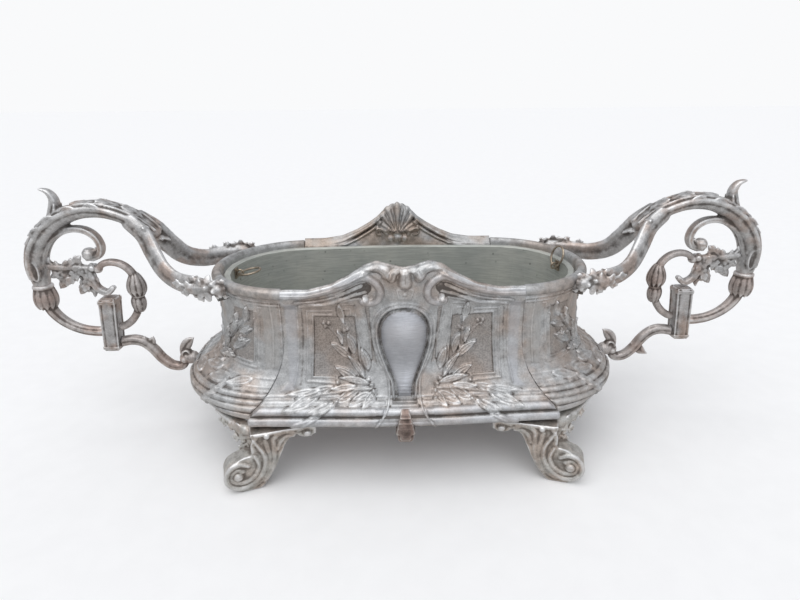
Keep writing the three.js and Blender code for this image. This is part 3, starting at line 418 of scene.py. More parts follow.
def acanthus(base: Point, tip: Point, half_wide: float, thick: float, pairs: int = 3,
             across: Point | None = None, lift: float = 0.0, bend: float = 0.0) -> list[Shell]:
    """Leaf with rounded lobes that branch off its midrib in pairs.

    Args:
        base: Where it grows from.
        tip: Its point.
        half_wide: Half its greatest width.
        thick: Half its thickness.
        pairs: Pairs of lobes.
        across: Direction of its width, or None for the XZ plane.
        lift: How far it arches off its own plane.
        bend: How far it curves within its own plane.

    Returns:
        Midrib, end leaf and lobes.
    """
    start, end = np.asarray(base, float), np.asarray(tip, float)
    forward, side, up = leaf_frame(start, end, across)
    at = lambda u: start + (end - start) * u + (up * lift + side * bend) * 4 * u * (1 - u)
    rib = [(*at(u), max(half_wide * 0.3 * (1 - 0.5 * u), 0.6), thick * (1.15 - 0.4 * u))
        for u in (0, 0.3, 0.6, 0.9)]
    shells = [sweep(rib, 0.7, 14, side), leaf(at(0.5), end, half_wide * 0.5, thick * 0.8, side, blunt=0.7)]
    for k in range(pairs):
        root = at(0.02 + 0.6 * k / max(pairs - 1, 1))
        reach = half_wide * (1.2 - 0.5 * k / pairs)
        for sign in (-1, 1):
            way = forward * 1.05 + side * sign + up * 0.1
            shells.append(leaf(root, root + unit(way) * reach, reach * 0.4, thick * 0.85, side, 0.3,
                blunt=1.0))
    return shells


def prism(levels: Table, half: float, depth: float = 0.13, per_side: int = 26) -> Shell:
    """Square block through (x, z, scale) levels, each face with a flat band between two flutes.

    Args:
        levels: Stations from its foot to its top.
        half: Half its width at scale 1.
        depth: Depth of the flutes as a share of that.
        per_side: Points to a side.

    Returns:
        The closed skin.
    """
    rings = []
    t = np.linspace(-1, 1, per_side, endpoint=False)
    flute = depth * np.exp(-(((np.abs(t) - 0.66) / 0.12) ** 2))
    reach = 1 - flute - 0.1 * np.clip((np.abs(t) - 0.92) / 0.08, 0, 1) ** 2
    plan = np.concatenate([np.stack([reach * c - t * s, reach * s + t * c], axis=1) for c,
        s in ((1, 0), (0, 1), (-1, 0), (0, -1))])
    run, _ = spline([(x, 0, z, k) for x, z, k in levels], 0.8)
    for x, _, z, k in run:
        rings.append(np.column_stack([x + plan[:, 0] * half * k, plan[:, 1] * half * k,
            np.full(len(plan), z)]))
    sides = len(plan)
    tips = np.array([[run[0, 0], 0, run[0, 2]], [run[-1, 0], 0, run[-1, 2]]])
    return Shell(np.concatenate([*rings, tips]), tube_faces(len(rings), sides))


def bud(profile: Path, centre: Point, petals: int, lap: float = 0.86, sides: int = 48) -> list[Shell]:
    """Turned core wrapped in pointed petals that run along its profile.

    Args:
        profile: (radius, height) pairs.
        centre: Place of height 0 on its axis.
        petals: Number of petals.
        lap: Share of the profile that they cover.
        sides: Points in a ring of the core.

    Returns:
        Core and petals.
    """
    shells = [turned([(max(r - 0.25, 0), z) for r, z in profile], centre, sides)]
    run, _ = spline([(r, 0, z) for r, z in profile], 0.8)
    run = run[: max(int(len(run) * lap), 4)]
    for k in range(petals):
        a = 2 * math.pi * (k + 0.5) / petals
        rows = []
        for i, (r, _, z) in enumerate(run):
            u = i / (len(run) - 1)
            wide = math.pi * max(r, 0.8) / petals * (1.0 if u < 0.8 else 1 - 0.6 * (u - 0.8) / 0.2)
            out = r - 0.35 + 0.6 * u**3
            rows.append((centre[0] + out * math.cos(a), centre[1] + out * math.sin(a), centre[2] + z,
                wide * 0.96, 0.85))
        shells.append(sweep(rows, 0.7, 12, (-math.sin(a), math.cos(a), 0)))
    return shells


def extruded(outline: Path, half: float, y: float) -> Shell:
    """Plate cut to an outline in the XZ plane.

    Args:
        outline: Its (x, z) corners in order.
        half: Half its thickness.
        y: Depth of its middle.

    Returns:
        The closed skin.
    """
    line = np.asarray(outline, float)
    count = len(line)
    depths = np.linspace(-half, half, 3)
    points = np.concatenate([np.column_stack([line[:, 0], np.full(count, y + d), line[:, 1]])
        for d in depths])
    faces = grid_faces(len(depths), count)
    for level, turn in ((0, 1), (len(depths) - 1, -1)):
        for tri in tessellate_polygon([[Vector((x, z, 0)) for x, z in line]]):
            faces.append(tuple(i + level * count for i in tri[::turn]))
    return Shell(points, faces)


def grooved(depth: float, width: float = 0.35, angles: Point = (0.0, math.pi)) -> Rib:
    """Section scale with a groove at each of some angles.

    Args:
        depth: Depth as a share of the section.
        width: Half width in radians.
        angles: Where the grooves are, in radians.

    Returns:
        Scale for `sweep`.
    """
    def rib(angle: Array, share: Array) -> Array:
        """Scale at an angle and a share of the way."""
        scale = np.ones(np.broadcast(angle, share).shape)
        for at in angles:
            off = (angle - at + math.pi) % (2 * math.pi) - math.pi
            scale = scale - depth * np.exp(-((off / width) ** 2))
        return scale
    return rib


def spiral(centre: Point, radii: Point, angles: Point, half: Point,
           depth: Point, count: int) -> list[tuple[float, ...]]:
    """Stations of a flat spiral in the XZ plane; each pair holds a first and a last value.

    Args:
        centre: Its middle (x, z).
        radii: Radius.
        angles: Turn in degrees.
        half: Half height of the section.
        depth: Half width of the section, along Y.
        count: Number of stations.

    Returns:
        Rows for `sweep`.
    """
    between = lambda pair, share: pair[0] + (pair[1] - pair[0]) * share
    rows = []
    for t in np.linspace(0, 1, count):
        a, r = math.radians(between(angles, t)), between(radii, t**0.8)
        rows.append((centre[0] + r * math.cos(a), 0, centre[1] + r * math.sin(a), between(depth, t),
            between(half, t)))
    return rows


# ---- mesh work


def bare_mesh(name: str, shell: Shell) -> bpy.types.Mesh:
    """Blender mesh of a shell, in metres."""
    mesh = bpy.data.meshes.new(name)
    mesh.from_pydata((shell.points * MM).tolist(), [], shell.faces)
    mesh.update()
    return mesh


def shell_of(mesh: bpy.types.Mesh) -> Shell:
    """Shell of a Blender mesh."""
    points = np.empty(len(mesh.vertices) * 3, np.float64)
    mesh.vertices.foreach_get("co", points)
    return Shell(points.reshape(-1, 3) / MM, [tuple(p.vertices) for p in mesh.polygons])


def evaluated(source: bpy.types.Object) -> bpy.types.Mesh:
    """Plain mesh of an object with its modifiers applied."""
    graph = bpy.context.evaluated_depsgraph_get()
    graph.update()
    return bpy.data.meshes.new_from_object(source.evaluated_get(graph), depsgraph=graph)


def neighbours(shell: Shell) -> tuple[Array, Array, Array]:
    """Both ends of every edge, and the number of edges at each point.

    Args:
        shell: The skin.

    Returns:
        First ends, second ends and counts.
    """
    pairs = []
    for size in (3, 4):
        faces = np.array([f for f in shell.faces if len(f) == size], int).reshape(-1, size)
        for k in range(size):
            pairs.append(np.stack([faces[:, k], faces[:, (k + 1) % size]], axis=1))
    edges = np.sort(np.concatenate(pairs), axis=1)
    key = np.unique(edges[:, 0] * len(shell.points) + edges[:, 1])
    a, b = key // len(shell.points), key % len(shell.points)
    count = np.bincount(a, minlength=len(shell.points)) + np.bincount(b, minlength=len(shell.points))
    return a, b, np.maximum(count, 1)


def averaged(values: Array, web: tuple[Array, Array, Array], passes: int) -> Array:
    """Values evened out over each point's neighbours.

    Args:
        values: One value or row for each point.
        web: Result of `neighbours`.
        passes: How often it is done.

    Returns:
        The evened values.
    """
    a, b, count = web
    out = values.astype(float)
    flat = out.ndim == 1
    out = out[:, None] if flat else out
    for _ in range(passes):
        total = np.stack([
            np.bincount(a, weights=out[b, k], minlength=len(out)) + np.bincount(b, weights=out[a, k],
                minlength=len(out))
            for k in range(out.shape[1])
        ], axis=1)
        out = (1 - SPREAD) * out + SPREAD * total / count[:, None]
    return out[:, 0] if flat else out


def point_normals(shell: Shell) -> Array:
    """Unit normals at the points.

    Args:
        shell: The skin.

    Returns:
        One row for each point.
    """
    mesh = bare_mesh("scratch", shell)
    normals = np.empty(len(mesh.vertices) * 3, np.float32)
    mesh.vertices.foreach_get("normal", normals)
    bpy.data.meshes.remove(mesh)
    return normals.reshape(-1, 3).astype(float)


def fused(shells: Sequence[Shell], voxel: float = 0.55, passes: int = 2) -> Shell:
    """Overlapping shells melted into one closed casting.

    Args:
        shells: The parts, each closed.
        voxel: Size of the remeshed grain.
        passes: Rounds of smoothing that keep the volume.

    Returns:
        The casting.
    """
    mesh = bare_mesh("melt", joined(shells))
    source = bpy.data.objects.new("melt", mesh)
    bpy.context.scene.collection.objects.link(source)
    remesh = source.modifiers.new("melt", "REMESH")
    remesh.mode = "VOXEL"
    remesh.voxel_size = voxel * MM * 1
    result = evaluated(source)
    shell = shell_of(result)
    bpy.data.objects.remove(source)
    bpy.data.meshes.remove(mesh)
    bpy.data.meshes.remove(result)
    web = neighbours(shell)
    for _ in range(passes):
        eased = averaged(shell.points, web, 1)
        shell.points = eased + RESTORE * (eased - averaged(eased, web, 1))
    return shell


def wear_and_sheen(shell: Shell, fine: int = 6, broad: int = 40) -> Array:
    """How far each point stands out (+) or lies in (-) from what surrounds it, from -1 to 1.

    Args:
        shell: The skin.
        fine: Passes that even out the near surroundings.
        broad: Further passes for the wide ones.

    Returns:
        One value for each point.
    """
    web = neighbours(shell)
    normals = point_normals(shell)
    near = averaged(shell.points, web, fine)
    far = averaged(near, web, broad)
    total = np.zeros(len(shell.points))
    for smooth, weight in ((near, 0.5), (far, 0.5)):
        lift = np.einsum("ij,ij->i", shell.points - smooth, normals)
        lift = lift - np.median(lift)
        spread = np.percentile(np.abs(lift), 88) + 1e-4
        total += weight * np.tanh(lift / spread)
    return averaged(total, web, 1)


# ---- node trees


class Graph:
    """A node tree under construction."""

    def __init__(self, tree: bpy.types.NodeTree) -> None:
        """Starts from an empty tree."""
        self.tree = tree
        tree.nodes.clear()

    def feed(self, value: Any, socket: Socket) -> None:
        """Links a socket to an input, or writes a plain value into it."""
        if isinstance(value, Socket):
            self.tree.links.new(value, socket)
        else:
            socket.default_value = value

    def add(self, kind: str, inputs: dict[Any, Any] | None = None, **settings: Any) -> bpy.types.Node:
        """Adds a node.

        Args:
            kind: Its type.
            inputs: Values or sockets by the name or number of the input.
            settings: Values of the node's own properties.

        Returns:
            The node.
        """
        node = self.tree.nodes.new(kind)
        for key, value in settings.items():
            setattr(node, key, value)
        for key, value in (inputs or {}).items():
            self.feed(value, node.inputs[key])
        return node

    def maths(self, operation: str, a: Any, b: Any) -> Socket:
        """Result of a Math node."""
        return self.add("ShaderNodeMath", {0: a, 1: b}, operation=operation).outputs[0]

    def times(self, a: Any, b: Any) -> Socket:
        """Product of two values."""
        return self.maths("MULTIPLY", a, b)

    def plus(self, a: Any, b: Any) -> Socket:
        """Sum of two values."""
        return self.maths("ADD", a, b)

    def least_zero(self, value: Any) -> Socket:
        """Value, or 0 where it is negative."""
        return self.maths("MAXIMUM", value, 0.0)

    def scaled(self, colour: Any, factor: Any) -> Socket:
        """Colour made brighter or darker."""
        return self.add("ShaderNodeVectorMath", {0: colour, "Scale": factor}, operation="SCALE").outputs[0]

    def place(self) -> Socket:
        """Object coordinates."""
        return self.add("ShaderNodeTexCoord").outputs["Object"]

    def noise(self, place: Any, scale: Any, detail: float, roughness: float = 0.5) -> Socket:
        """Even noise from about 0.3 to 0.7."""
        inputs = {"Vector": place, "Scale": scale, "Detail": detail, "Roughness": roughness}
        return self.add("ShaderNodeTexNoise", inputs).outputs[0]

    def group(self, tree: bpy.types.NodeTree, inputs: dict[str, Any] | None = None) -> Any:
        """Outputs of a node group."""
        return self.add("ShaderNodeGroup", inputs, node_tree=tree).outputs

    def span(self, value: Any, low: float, high: float, to_low: float = 0.0,
            to_high: float = 1.0) -> Socket:
        """Value moved smoothly from one range to another."""
        inputs = {"Value": value, "From Min": low, "From Max": high, "To Min": to_low, "To Max": to_high}
        return self.add("ShaderNodeMapRange", inputs, interpolation_type="SMOOTHSTEP").outputs[0]

    def blend(self, share: Any, first: Any, second: Any) -> Socket:
        """Mix of two colours."""
        return self.add("ShaderNodeMix", {0: share, 6: first, 7: second}, data_type="RGBA").outputs[2]

    def surface(self, inputs: dict[str, Any], height: Any, strength: float, distance: float) -> None:
        """Ends a material in a bumped surface.

        Args:
            inputs: Inputs of the surface shader.
            height: Height of the bumps, from 0 to about 1.
            strength: Share of the bumps that shows.
            distance: Their height in metres.
        """
        bump = self.add("ShaderNodeBump", {"Height": height, "Strength": strength, "Distance": distance})
        shader = self.add("ShaderNodeBsdfPrincipled", {**inputs, "Normal": bump.outputs[0]})
        self.add("ShaderNodeOutputMaterial", {"Surface": shader.outputs[0]})


def rgb(*values: float) -> tuple[float, float, float, float]:
    """Opaque colour."""
    return (*values, 1.0)


class GroupKit:
    """Shader node groups that several finishes use, each made once."""

    made: dict[str, bpy.types.NodeTree] = {}

    @classmethod
    def start(cls, name: str, inputs: dict[str, Any], outputs: Sequence[str]) -> tuple[Graph, Any, Any]:
        """Opens a new group.

        Args:
            name: Its name.
            inputs: Start value of each input: a number, a vector of 3 or a colour of 4.
            outputs: Names of its results; Color is a colour, the rest are numbers.

        Returns:
            The tree under construction, its inputs and its outputs.
        """
        tree = bpy.data.node_groups.new(name, "ShaderNodeTree")
        for label, value in inputs.items():
            kind = {3: "Vector", 4: "Color"}[len(value)] if isinstance(value, tuple) else "Float"
            socket = tree.interface.new_socket(label, in_out="INPUT", socket_type=f"NodeSocket{kind}")
            socket.default_value = value
        for label in outputs:
            kind = "Color" if label == "Color" else "Float"
            tree.interface.new_socket(label, in_out="OUTPUT", socket_type=f"NodeSocket{kind}")
        graph = Graph(tree)
        cls.made[name] = tree
        return graph, graph.add("NodeGroupInput").outputs, graph.add("NodeGroupOutput").inputs

    @classmethod
    def brushing(cls) -> bpy.types.NodeTree:
        """Fine scratches drawn out along one direction."""
        if "brushing" in cls.made:
            return cls.made["brushing"]
        graph, given, result = cls.start("brushing", {"Stretch": (60, 60, 2200)}, ["Value"])
        inputs = {0: graph.place(), 1: given["Stretch"]}
        drawn = graph.add("ShaderNodeVectorMath", inputs, operation="MULTIPLY").outputs[0]
        graph.feed(graph.span(graph.noise(drawn, 1.0, 3.0, 0.65), 0.3, 0.7), result["Value"])
        return cls.made["brushing"]

    @classmethod
    def grain(cls) -> bpy.types.NodeTree:
        """Pitted, slightly lumpy skin of a sand casting."""
        if "grain" in cls.made:
            return cls.made["grain"]
        graph, given, result = cls.start("grain", {"Pit size": 1100.0, "Lump size": 240.0},
            ["Pits", "Lumps"])
        place = graph.place()
        graph.feed(graph.noise(place, given["Pit size"], 3.0, 0.7), result["Pits"])
        graph.feed(graph.noise(place, given["Lump size"], 4.0, 0.6), result["Lumps"])
        return cls.made["grain"]

    @classmethod
    def patina(cls) -> bpy.types.NodeTree:
        """Silvering worn bright on what stands out and tarnished in what lies in; its first input also
        brings painted highlight and shade.
        """
        if "patina" in cls.made:
            return cls.made["patina"]
        graph, given, result = cls.start("patina", {
            "Wear and sheen": 0.0, "Polish": 0.0, "Metal": rgb(0.3, 0.3, 0.3), "Warm": rgb(0.3, 0.25, 0.22),
            "Deep": rgb(0.06, 0.05, 0.045), "Bright": rgb(0.6, 0.6, 0.6), "Patch": 42.0},
            ["Color", "Roughness"])
        place = graph.place()
        patch = graph.noise(place, given["Patch"], 3.0, 0.55)
        mottle = graph.noise(place, 190.0, 5.0, 0.65)
        pits = graph.group(cls.grain())["Pits"]
        # Brightness from rubbing and tarnish with mottling; on the domes it also carries painted highlight
        # and painted shade, which the masks below turn into the bright and deep colours
        stain_and_sheen = graph.plus(given["Wear and sheen"], graph.span(mottle, 0.3, 0.7, -0.22, 0.22))
        sunk_and_shaded, proud = graph.span(stain_and_sheen, -0.1, -0.85), graph.span(stain_and_sheen, 0.12, 0.9)
        colour = graph.blend(graph.span(patch, 0.42, 0.64), given["Metal"], given["Warm"])
        tone = graph.times(graph.span(mottle, 0.25, 0.75, 0.8, 1.2), graph.span(pits, 0.3, 0.7, 0.86, 1.14))
        colour = graph.blend(graph.times(sunk_and_shaded, 0.86), graph.scaled(colour, tone), given["Deep"])
        colour = graph.blend(graph.times(proud, 0.8), colour, given["Bright"])
        matted = graph.times(graph.least_zero(graph.times(given["Polish"], -1.0)), 0.6)
        ground = graph.blend(graph.span(pits, 0.4, 0.6, 0.3, 0.8), given["Deep"], given["Warm"])
        rough = graph.plus(0.45, graph.times(sunk_and_shaded, 0.25))
        rough = graph.plus(rough, graph.times(proud, -0.1))
        rough = graph.plus(rough, graph.times(graph.least_zero(given["Polish"]), -0.1))
        graph.feed(graph.blend(matted, colour, ground), result["Color"])
        graph.feed(graph.plus(rough, graph.span(mottle, 0.3, 0.7, -0.05, 0.08)), result["Roughness"])
        return cls.made["patina"]


def new_material(name: str) -> tuple[bpy.types.Material, Graph]:
    """Empty node material and its tree."""
    material = bpy.data.materials.new(name)
    material.use_nodes = True
    return material, Graph(material.node_tree)


# ---- finishes


@dataclass(frozen=True)
class CastFinish:
    """Silvered casting with tarnish in its hollows and, where its relief paints them, a painted highlight
    and shade.
    """

    name: str
    slot: Slot
    metal: Triple = (0.515, 0.52, 0.525)
    warm: Triple = (0.475, 0.41, 0.37)
    deep: Triple = (0.115, 0.098, 0.088)
    bright: Triple = (0.86, 0.86, 0.865)
    polished: Triple = (0.60, 0.615, 0.66)
    stretch: Triple = (110, 110, 3800)
    metallic: float = 0.74
    patch: float = 34.0

    def material(self) -> bpy.types.Material:
        """Material of the finish, made once."""
        if self.name in bpy.data.materials:
            return bpy.data.materials[self.name]
        material, graph = new_material(self.name)
        # Brightness from rubbing and tarnish; on the domes of the long castings it also holds a painted
        # highlight and painted shade
        relief = graph.add("ShaderNodeAttribute", attribute_name="wear_and_sheen").outputs["Fac"]
        polish = graph.add("ShaderNodeAttribute", attribute_name="polish").outputs["Fac"]
        patina = graph.group(GroupKit.patina(), {
            "Wear and sheen": relief, "Polish": polish, "Metal": rgb(*self.metal), "Warm": rgb(*self.warm),
            "Deep": rgb(*self.deep), "Bright": rgb(*self.bright), "Patch": self.patch})
        lines = graph.group(GroupKit.brushing(), {"Stretch": self.stretch})[0]
        # Polished colour made lighter or darker by the brushing and by that brightness, so the domes show
        # their painted highlight and shade
        tone = graph.times(graph.span(lines, 0, 1, 0.88, 1.1), graph.span(relief, -1.0, 1.0, 0.58, 1.3))
        kept = graph.times(graph.least_zero(polish), 0.85)
        skin = graph.group(GroupKit.grain())
        height = graph.plus(graph.times(skin["Pits"], 0.5), skin["Lumps"])
        height = graph.plus(height, graph.times(graph.times(lines, kept), 0.25))
        colour = graph.blend(kept, patina["Color"], graph.scaled(self.polished, tone))
        inputs = {"Base Color": colour, "Roughness": patina["Roughness"], "Metallic": self.metallic}
        graph.surface(inputs, height, 0.28, 0.0005)
        return material


@dataclass(frozen=True)
class SheetFinish:
    """Plain sheet or wire with stains, spots and fine scratches."""

    name: str
    slot: Slot
    colour: Triple
    stain: Triple
    spot: Triple
    metallic: float
    roughness: float
    patch: float = 28.0
    spots: float = 210.0
    stretch: Triple = (70, 70, 1100)

    def material(self) -> bpy.types.Material:
        """Material of the finish, made once."""
        if self.name in bpy.data.materials:
            return bpy.data.materials[self.name]
        material, graph = new_material(self.name)
        place = graph.place()
        patch = graph.noise(place, self.patch, 4.0, 0.6)
        fleck = graph.add("ShaderNodeTexVoronoi",
            {"Vector": place, "Scale": self.spots}).outputs["Distance"]
        lumps = graph.group(GroupKit.grain(), {"Pit size": 1500.0, "Lump size": 160.0})["Lumps"]
        lines = graph.group(GroupKit.brushing(), {"Stretch": self.stretch})[0]
        speck = graph.times(graph.span(fleck, 0.24, 0.08), graph.span(lumps, 0.5, 0.66))
        colour = graph.blend(graph.span(patch, 0.36, 0.66), rgb(*self.colour), rgb(*self.stain))
        colour = graph.blend(graph.times(speck, 0.7), colour, rgb(*self.spot))
        rough = graph.plus(graph.span(patch, 0.3, 0.7, -0.06, 0.1), self.roughness)
        inputs = {"Base Color": graph.scaled(colour, graph.span(lines, 0, 1, 0.9, 1.1)), "Roughness": rough}
        height = graph.plus(graph.times(lines, 0.3), lumps)
        graph.surface({**inputs, "Metallic": self.metallic}, height, 0.2, 0.0004)
        return material


PANEL_PLATE = CastFinish("silvered_panel", Slot.SILVER)
END_PLATE = CastFinish("silvered_end", Slot.SILVER, stretch=(2600, 2600, 90), polished=(0.55, 0.54, 0.53))
BACK_PLATE = CastFinish("silvered_back", Slot.SILVER, metal=(0.44, 0.44, 0.44), warm=(0.42, 0.35, 0.30))
ARM_PLATE = CastFinish("silvered_arm", Slot.SILVER, metal=(0.52, 0.515, 0.515), warm=(0.465, 0.388, 0.35),
    patch=55.0)
FOOT_PLATE = CastFinish("silvered_foot", Slot.SILVER, metal=(0.55, 0.54, 0.515), warm=(0.52, 0.45, 0.40),
    deep=(0.19, 0.165, 0.145), patch=60.0)
BROWN_CAST = CastFinish(
    "tarnished_scroll", Slot.TARNISHED, metal=(0.50, 0.465, 0.45), warm=(0.45, 0.365, 0.33),
    deep=(0.12, 0.097, 0.085), bright=(0.80, 0.78, 0.77))
SOCKET_CAST = CastFinish("tarnished_socket", Slot.TARNISHED, metal=(0.50, 0.49, 0.49),
    warm=(0.42, 0.34, 0.30), patch=70.0)
# Darker copy of the cast finish for the pendants: its brown is partly tarnish and partly painted shade for
# the shadow under the bar
DARK_CAST = CastFinish(
    "tarnished_pendant", Slot.TARNISHED, metal=(0.32, 0.26, 0.235), warm=(0.30, 0.215, 0.185),
    deep=(0.08, 0.06, 0.052), bright=(0.66, 0.62, 0.59))
ZINC = SheetFinish("liner_sheet", Slot.ZINC, (0.43, 0.445, 0.42), (0.50, 0.505, 0.465), (0.15, 0.155, 0.14),
    0.45, 0.5)
WIRE = SheetFinish("ring_wire", Slot.BRASS, (0.42, 0.36, 0.28), (0.30, 0.24, 0.19), (0.12, 0.1, 0.07), 0.85,
    0.38, 300.0, 900.0)
STEEL = SheetFinish("screw_metal", Slot.STEEL, (0.22, 0.22, 0.215), (0.16, 0.13, 0.11), (0.06, 0.05, 0.04),
    0.85, 0.42, 300.0, 900.0)
Finish = CastFinish | SheetFinish


def make_piece(name: str, shell: Shell, finish: Finish) -> bpy.types.Object:
    """Finished piece of the bowl that stands for the CAD node of the same name.

    Args:
        name: Name of the piece and of the node.
        shell: Its skin, in millimetres.
        finish: Its finish.

    Returns:
        The object, at the origin, with its place in its mesh.
    """
    mesh = bare_mesh(name, shell)
    worker = bmesh.new()
    worker.from_mesh(mesh)
    bmesh.ops.recalc_face_normals(worker, faces=worker.faces)
    worker.to_mesh(mesh)
    worker.free()
    for label, values in shell.layers.items():
        layer = mesh.attributes.new(label, "FLOAT", "POINT")
        layer.data.foreach_set("value", np.ascontiguousarray(values, np.float32))
    mesh.shade_smooth()
    mesh.materials.append(finish.material())
    piece = bpy.data.objects.new(name, mesh)
    bpy.context.scene.collection.objects.link(piece)
    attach(piece, BODY)
    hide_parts(name)
    triangles = sum(len(face) - 2 for face in shell.faces)
    LOG.info("%s: %d triangles on %s, finish %s", name, triangles, BODY, finish.name)
    return piece


def cast_piece(name: str, shell: Shell, finish: CastFinish) -> bpy.types.Object:
    """Piece of a fused casting, with its wear worked out from its shape.

    Args:
        name: Name of the piece and of its CAD node.
        shell: Its skin.
        finish: Its finish.

    Returns:
        The finished piece.
    """
    shell.layers["wear_and_sheen"] = wear_and_sheen(shell)
    shell.layers["polish"] = np.zeros(len(shell.points))
    return make_piece(name, shell, finish)


def raised(face: Array, height: Array, above: tuple[int, int], below: float,
        at_seam: float) -> Array:
    """Face lifted along its normals by a relief that fades out at its edges.

    Args:
        face: Points by row and column.
        height: Height of the relief at each point.
        above: Rows from the top where the relief ends, and where it is whole.
        below: Row from the bottom where it is whole.
        at_seam: Share of the relief that is left at the side edges.

    Returns:
        The points of the worked face.
    """
    rows, columns = np.arange(len(face)), np.arange(face.shape[1])
    fade = np.minimum(ease(len(rows) - above[0], len(rows) - above[1], rows), ease(-1, below, rows))
    side = np.minimum(ease(-1, 3, columns), ease(len(columns), len(columns) - 4, columns))
    normal = unit(np.cross(np.gradient(face, axis=1), np.gradient(face, axis=0)))
    return face + normal * height[..., None] * fade[:, None, None] * (at_seam + (1 - at_seam) * side)[None,
        :, None]


def wall_shell(rings: Array, polish: Array, paint: Array, axis: int) -> Shell:
    """Skin of a wall casting, closed round each of its columns and at its two seams.

    Args:
        rings: Points by row and column; the rows go up the face and down behind it.
        polish: Polish of each point.
        paint: Brightness that the relief gives each point, with the painted highlight and shade of a dome.
        axis: Level axis that a seam's outline runs along, 0 for X or 1 for Y.

    Returns:
        The skin with its polish, and its brightness from rubbing, tarnish and painted sheen.
    """
    total, columns = rings.shape[:2]
    faces = grid_faces(columns, total)
    order = np.arange(total * columns).reshape(total, columns).T.reshape(-1)
    points = rings.reshape(-1, 3)[order]
    for column, turn in ((0, 1), (columns - 1, -1)):
        ring = points[column * total:(column + 1) * total]
        for tri in tessellate_polygon([[Vector((p[axis], p[2], 0)) for p in ring]]):
            faces.append(tuple(i + column * total for i in tri[::turn]))
    lifted = wear_and_sheen(Shell(points, faces[: total * (columns - 1)]), 4, 30)
    # Brightness from the shape and the relief strokes: rubbed edges, tarnished hollows, and on the domes a
    # painted highlight and painted shade
    worn = SHAPE_WEAR * lifted + PAINT_WEAR_AND_SHEEN * paint.reshape(-1)[order]
    worn = np.clip(worn, -WEAR_AND_SHEEN_LIMIT, WEAR_AND_SHEEN_LIMIT)
    return Shell(points, faces, {"polish": polish.reshape(-1)[order], "wear_and_sheen": worn})


# ---- relief


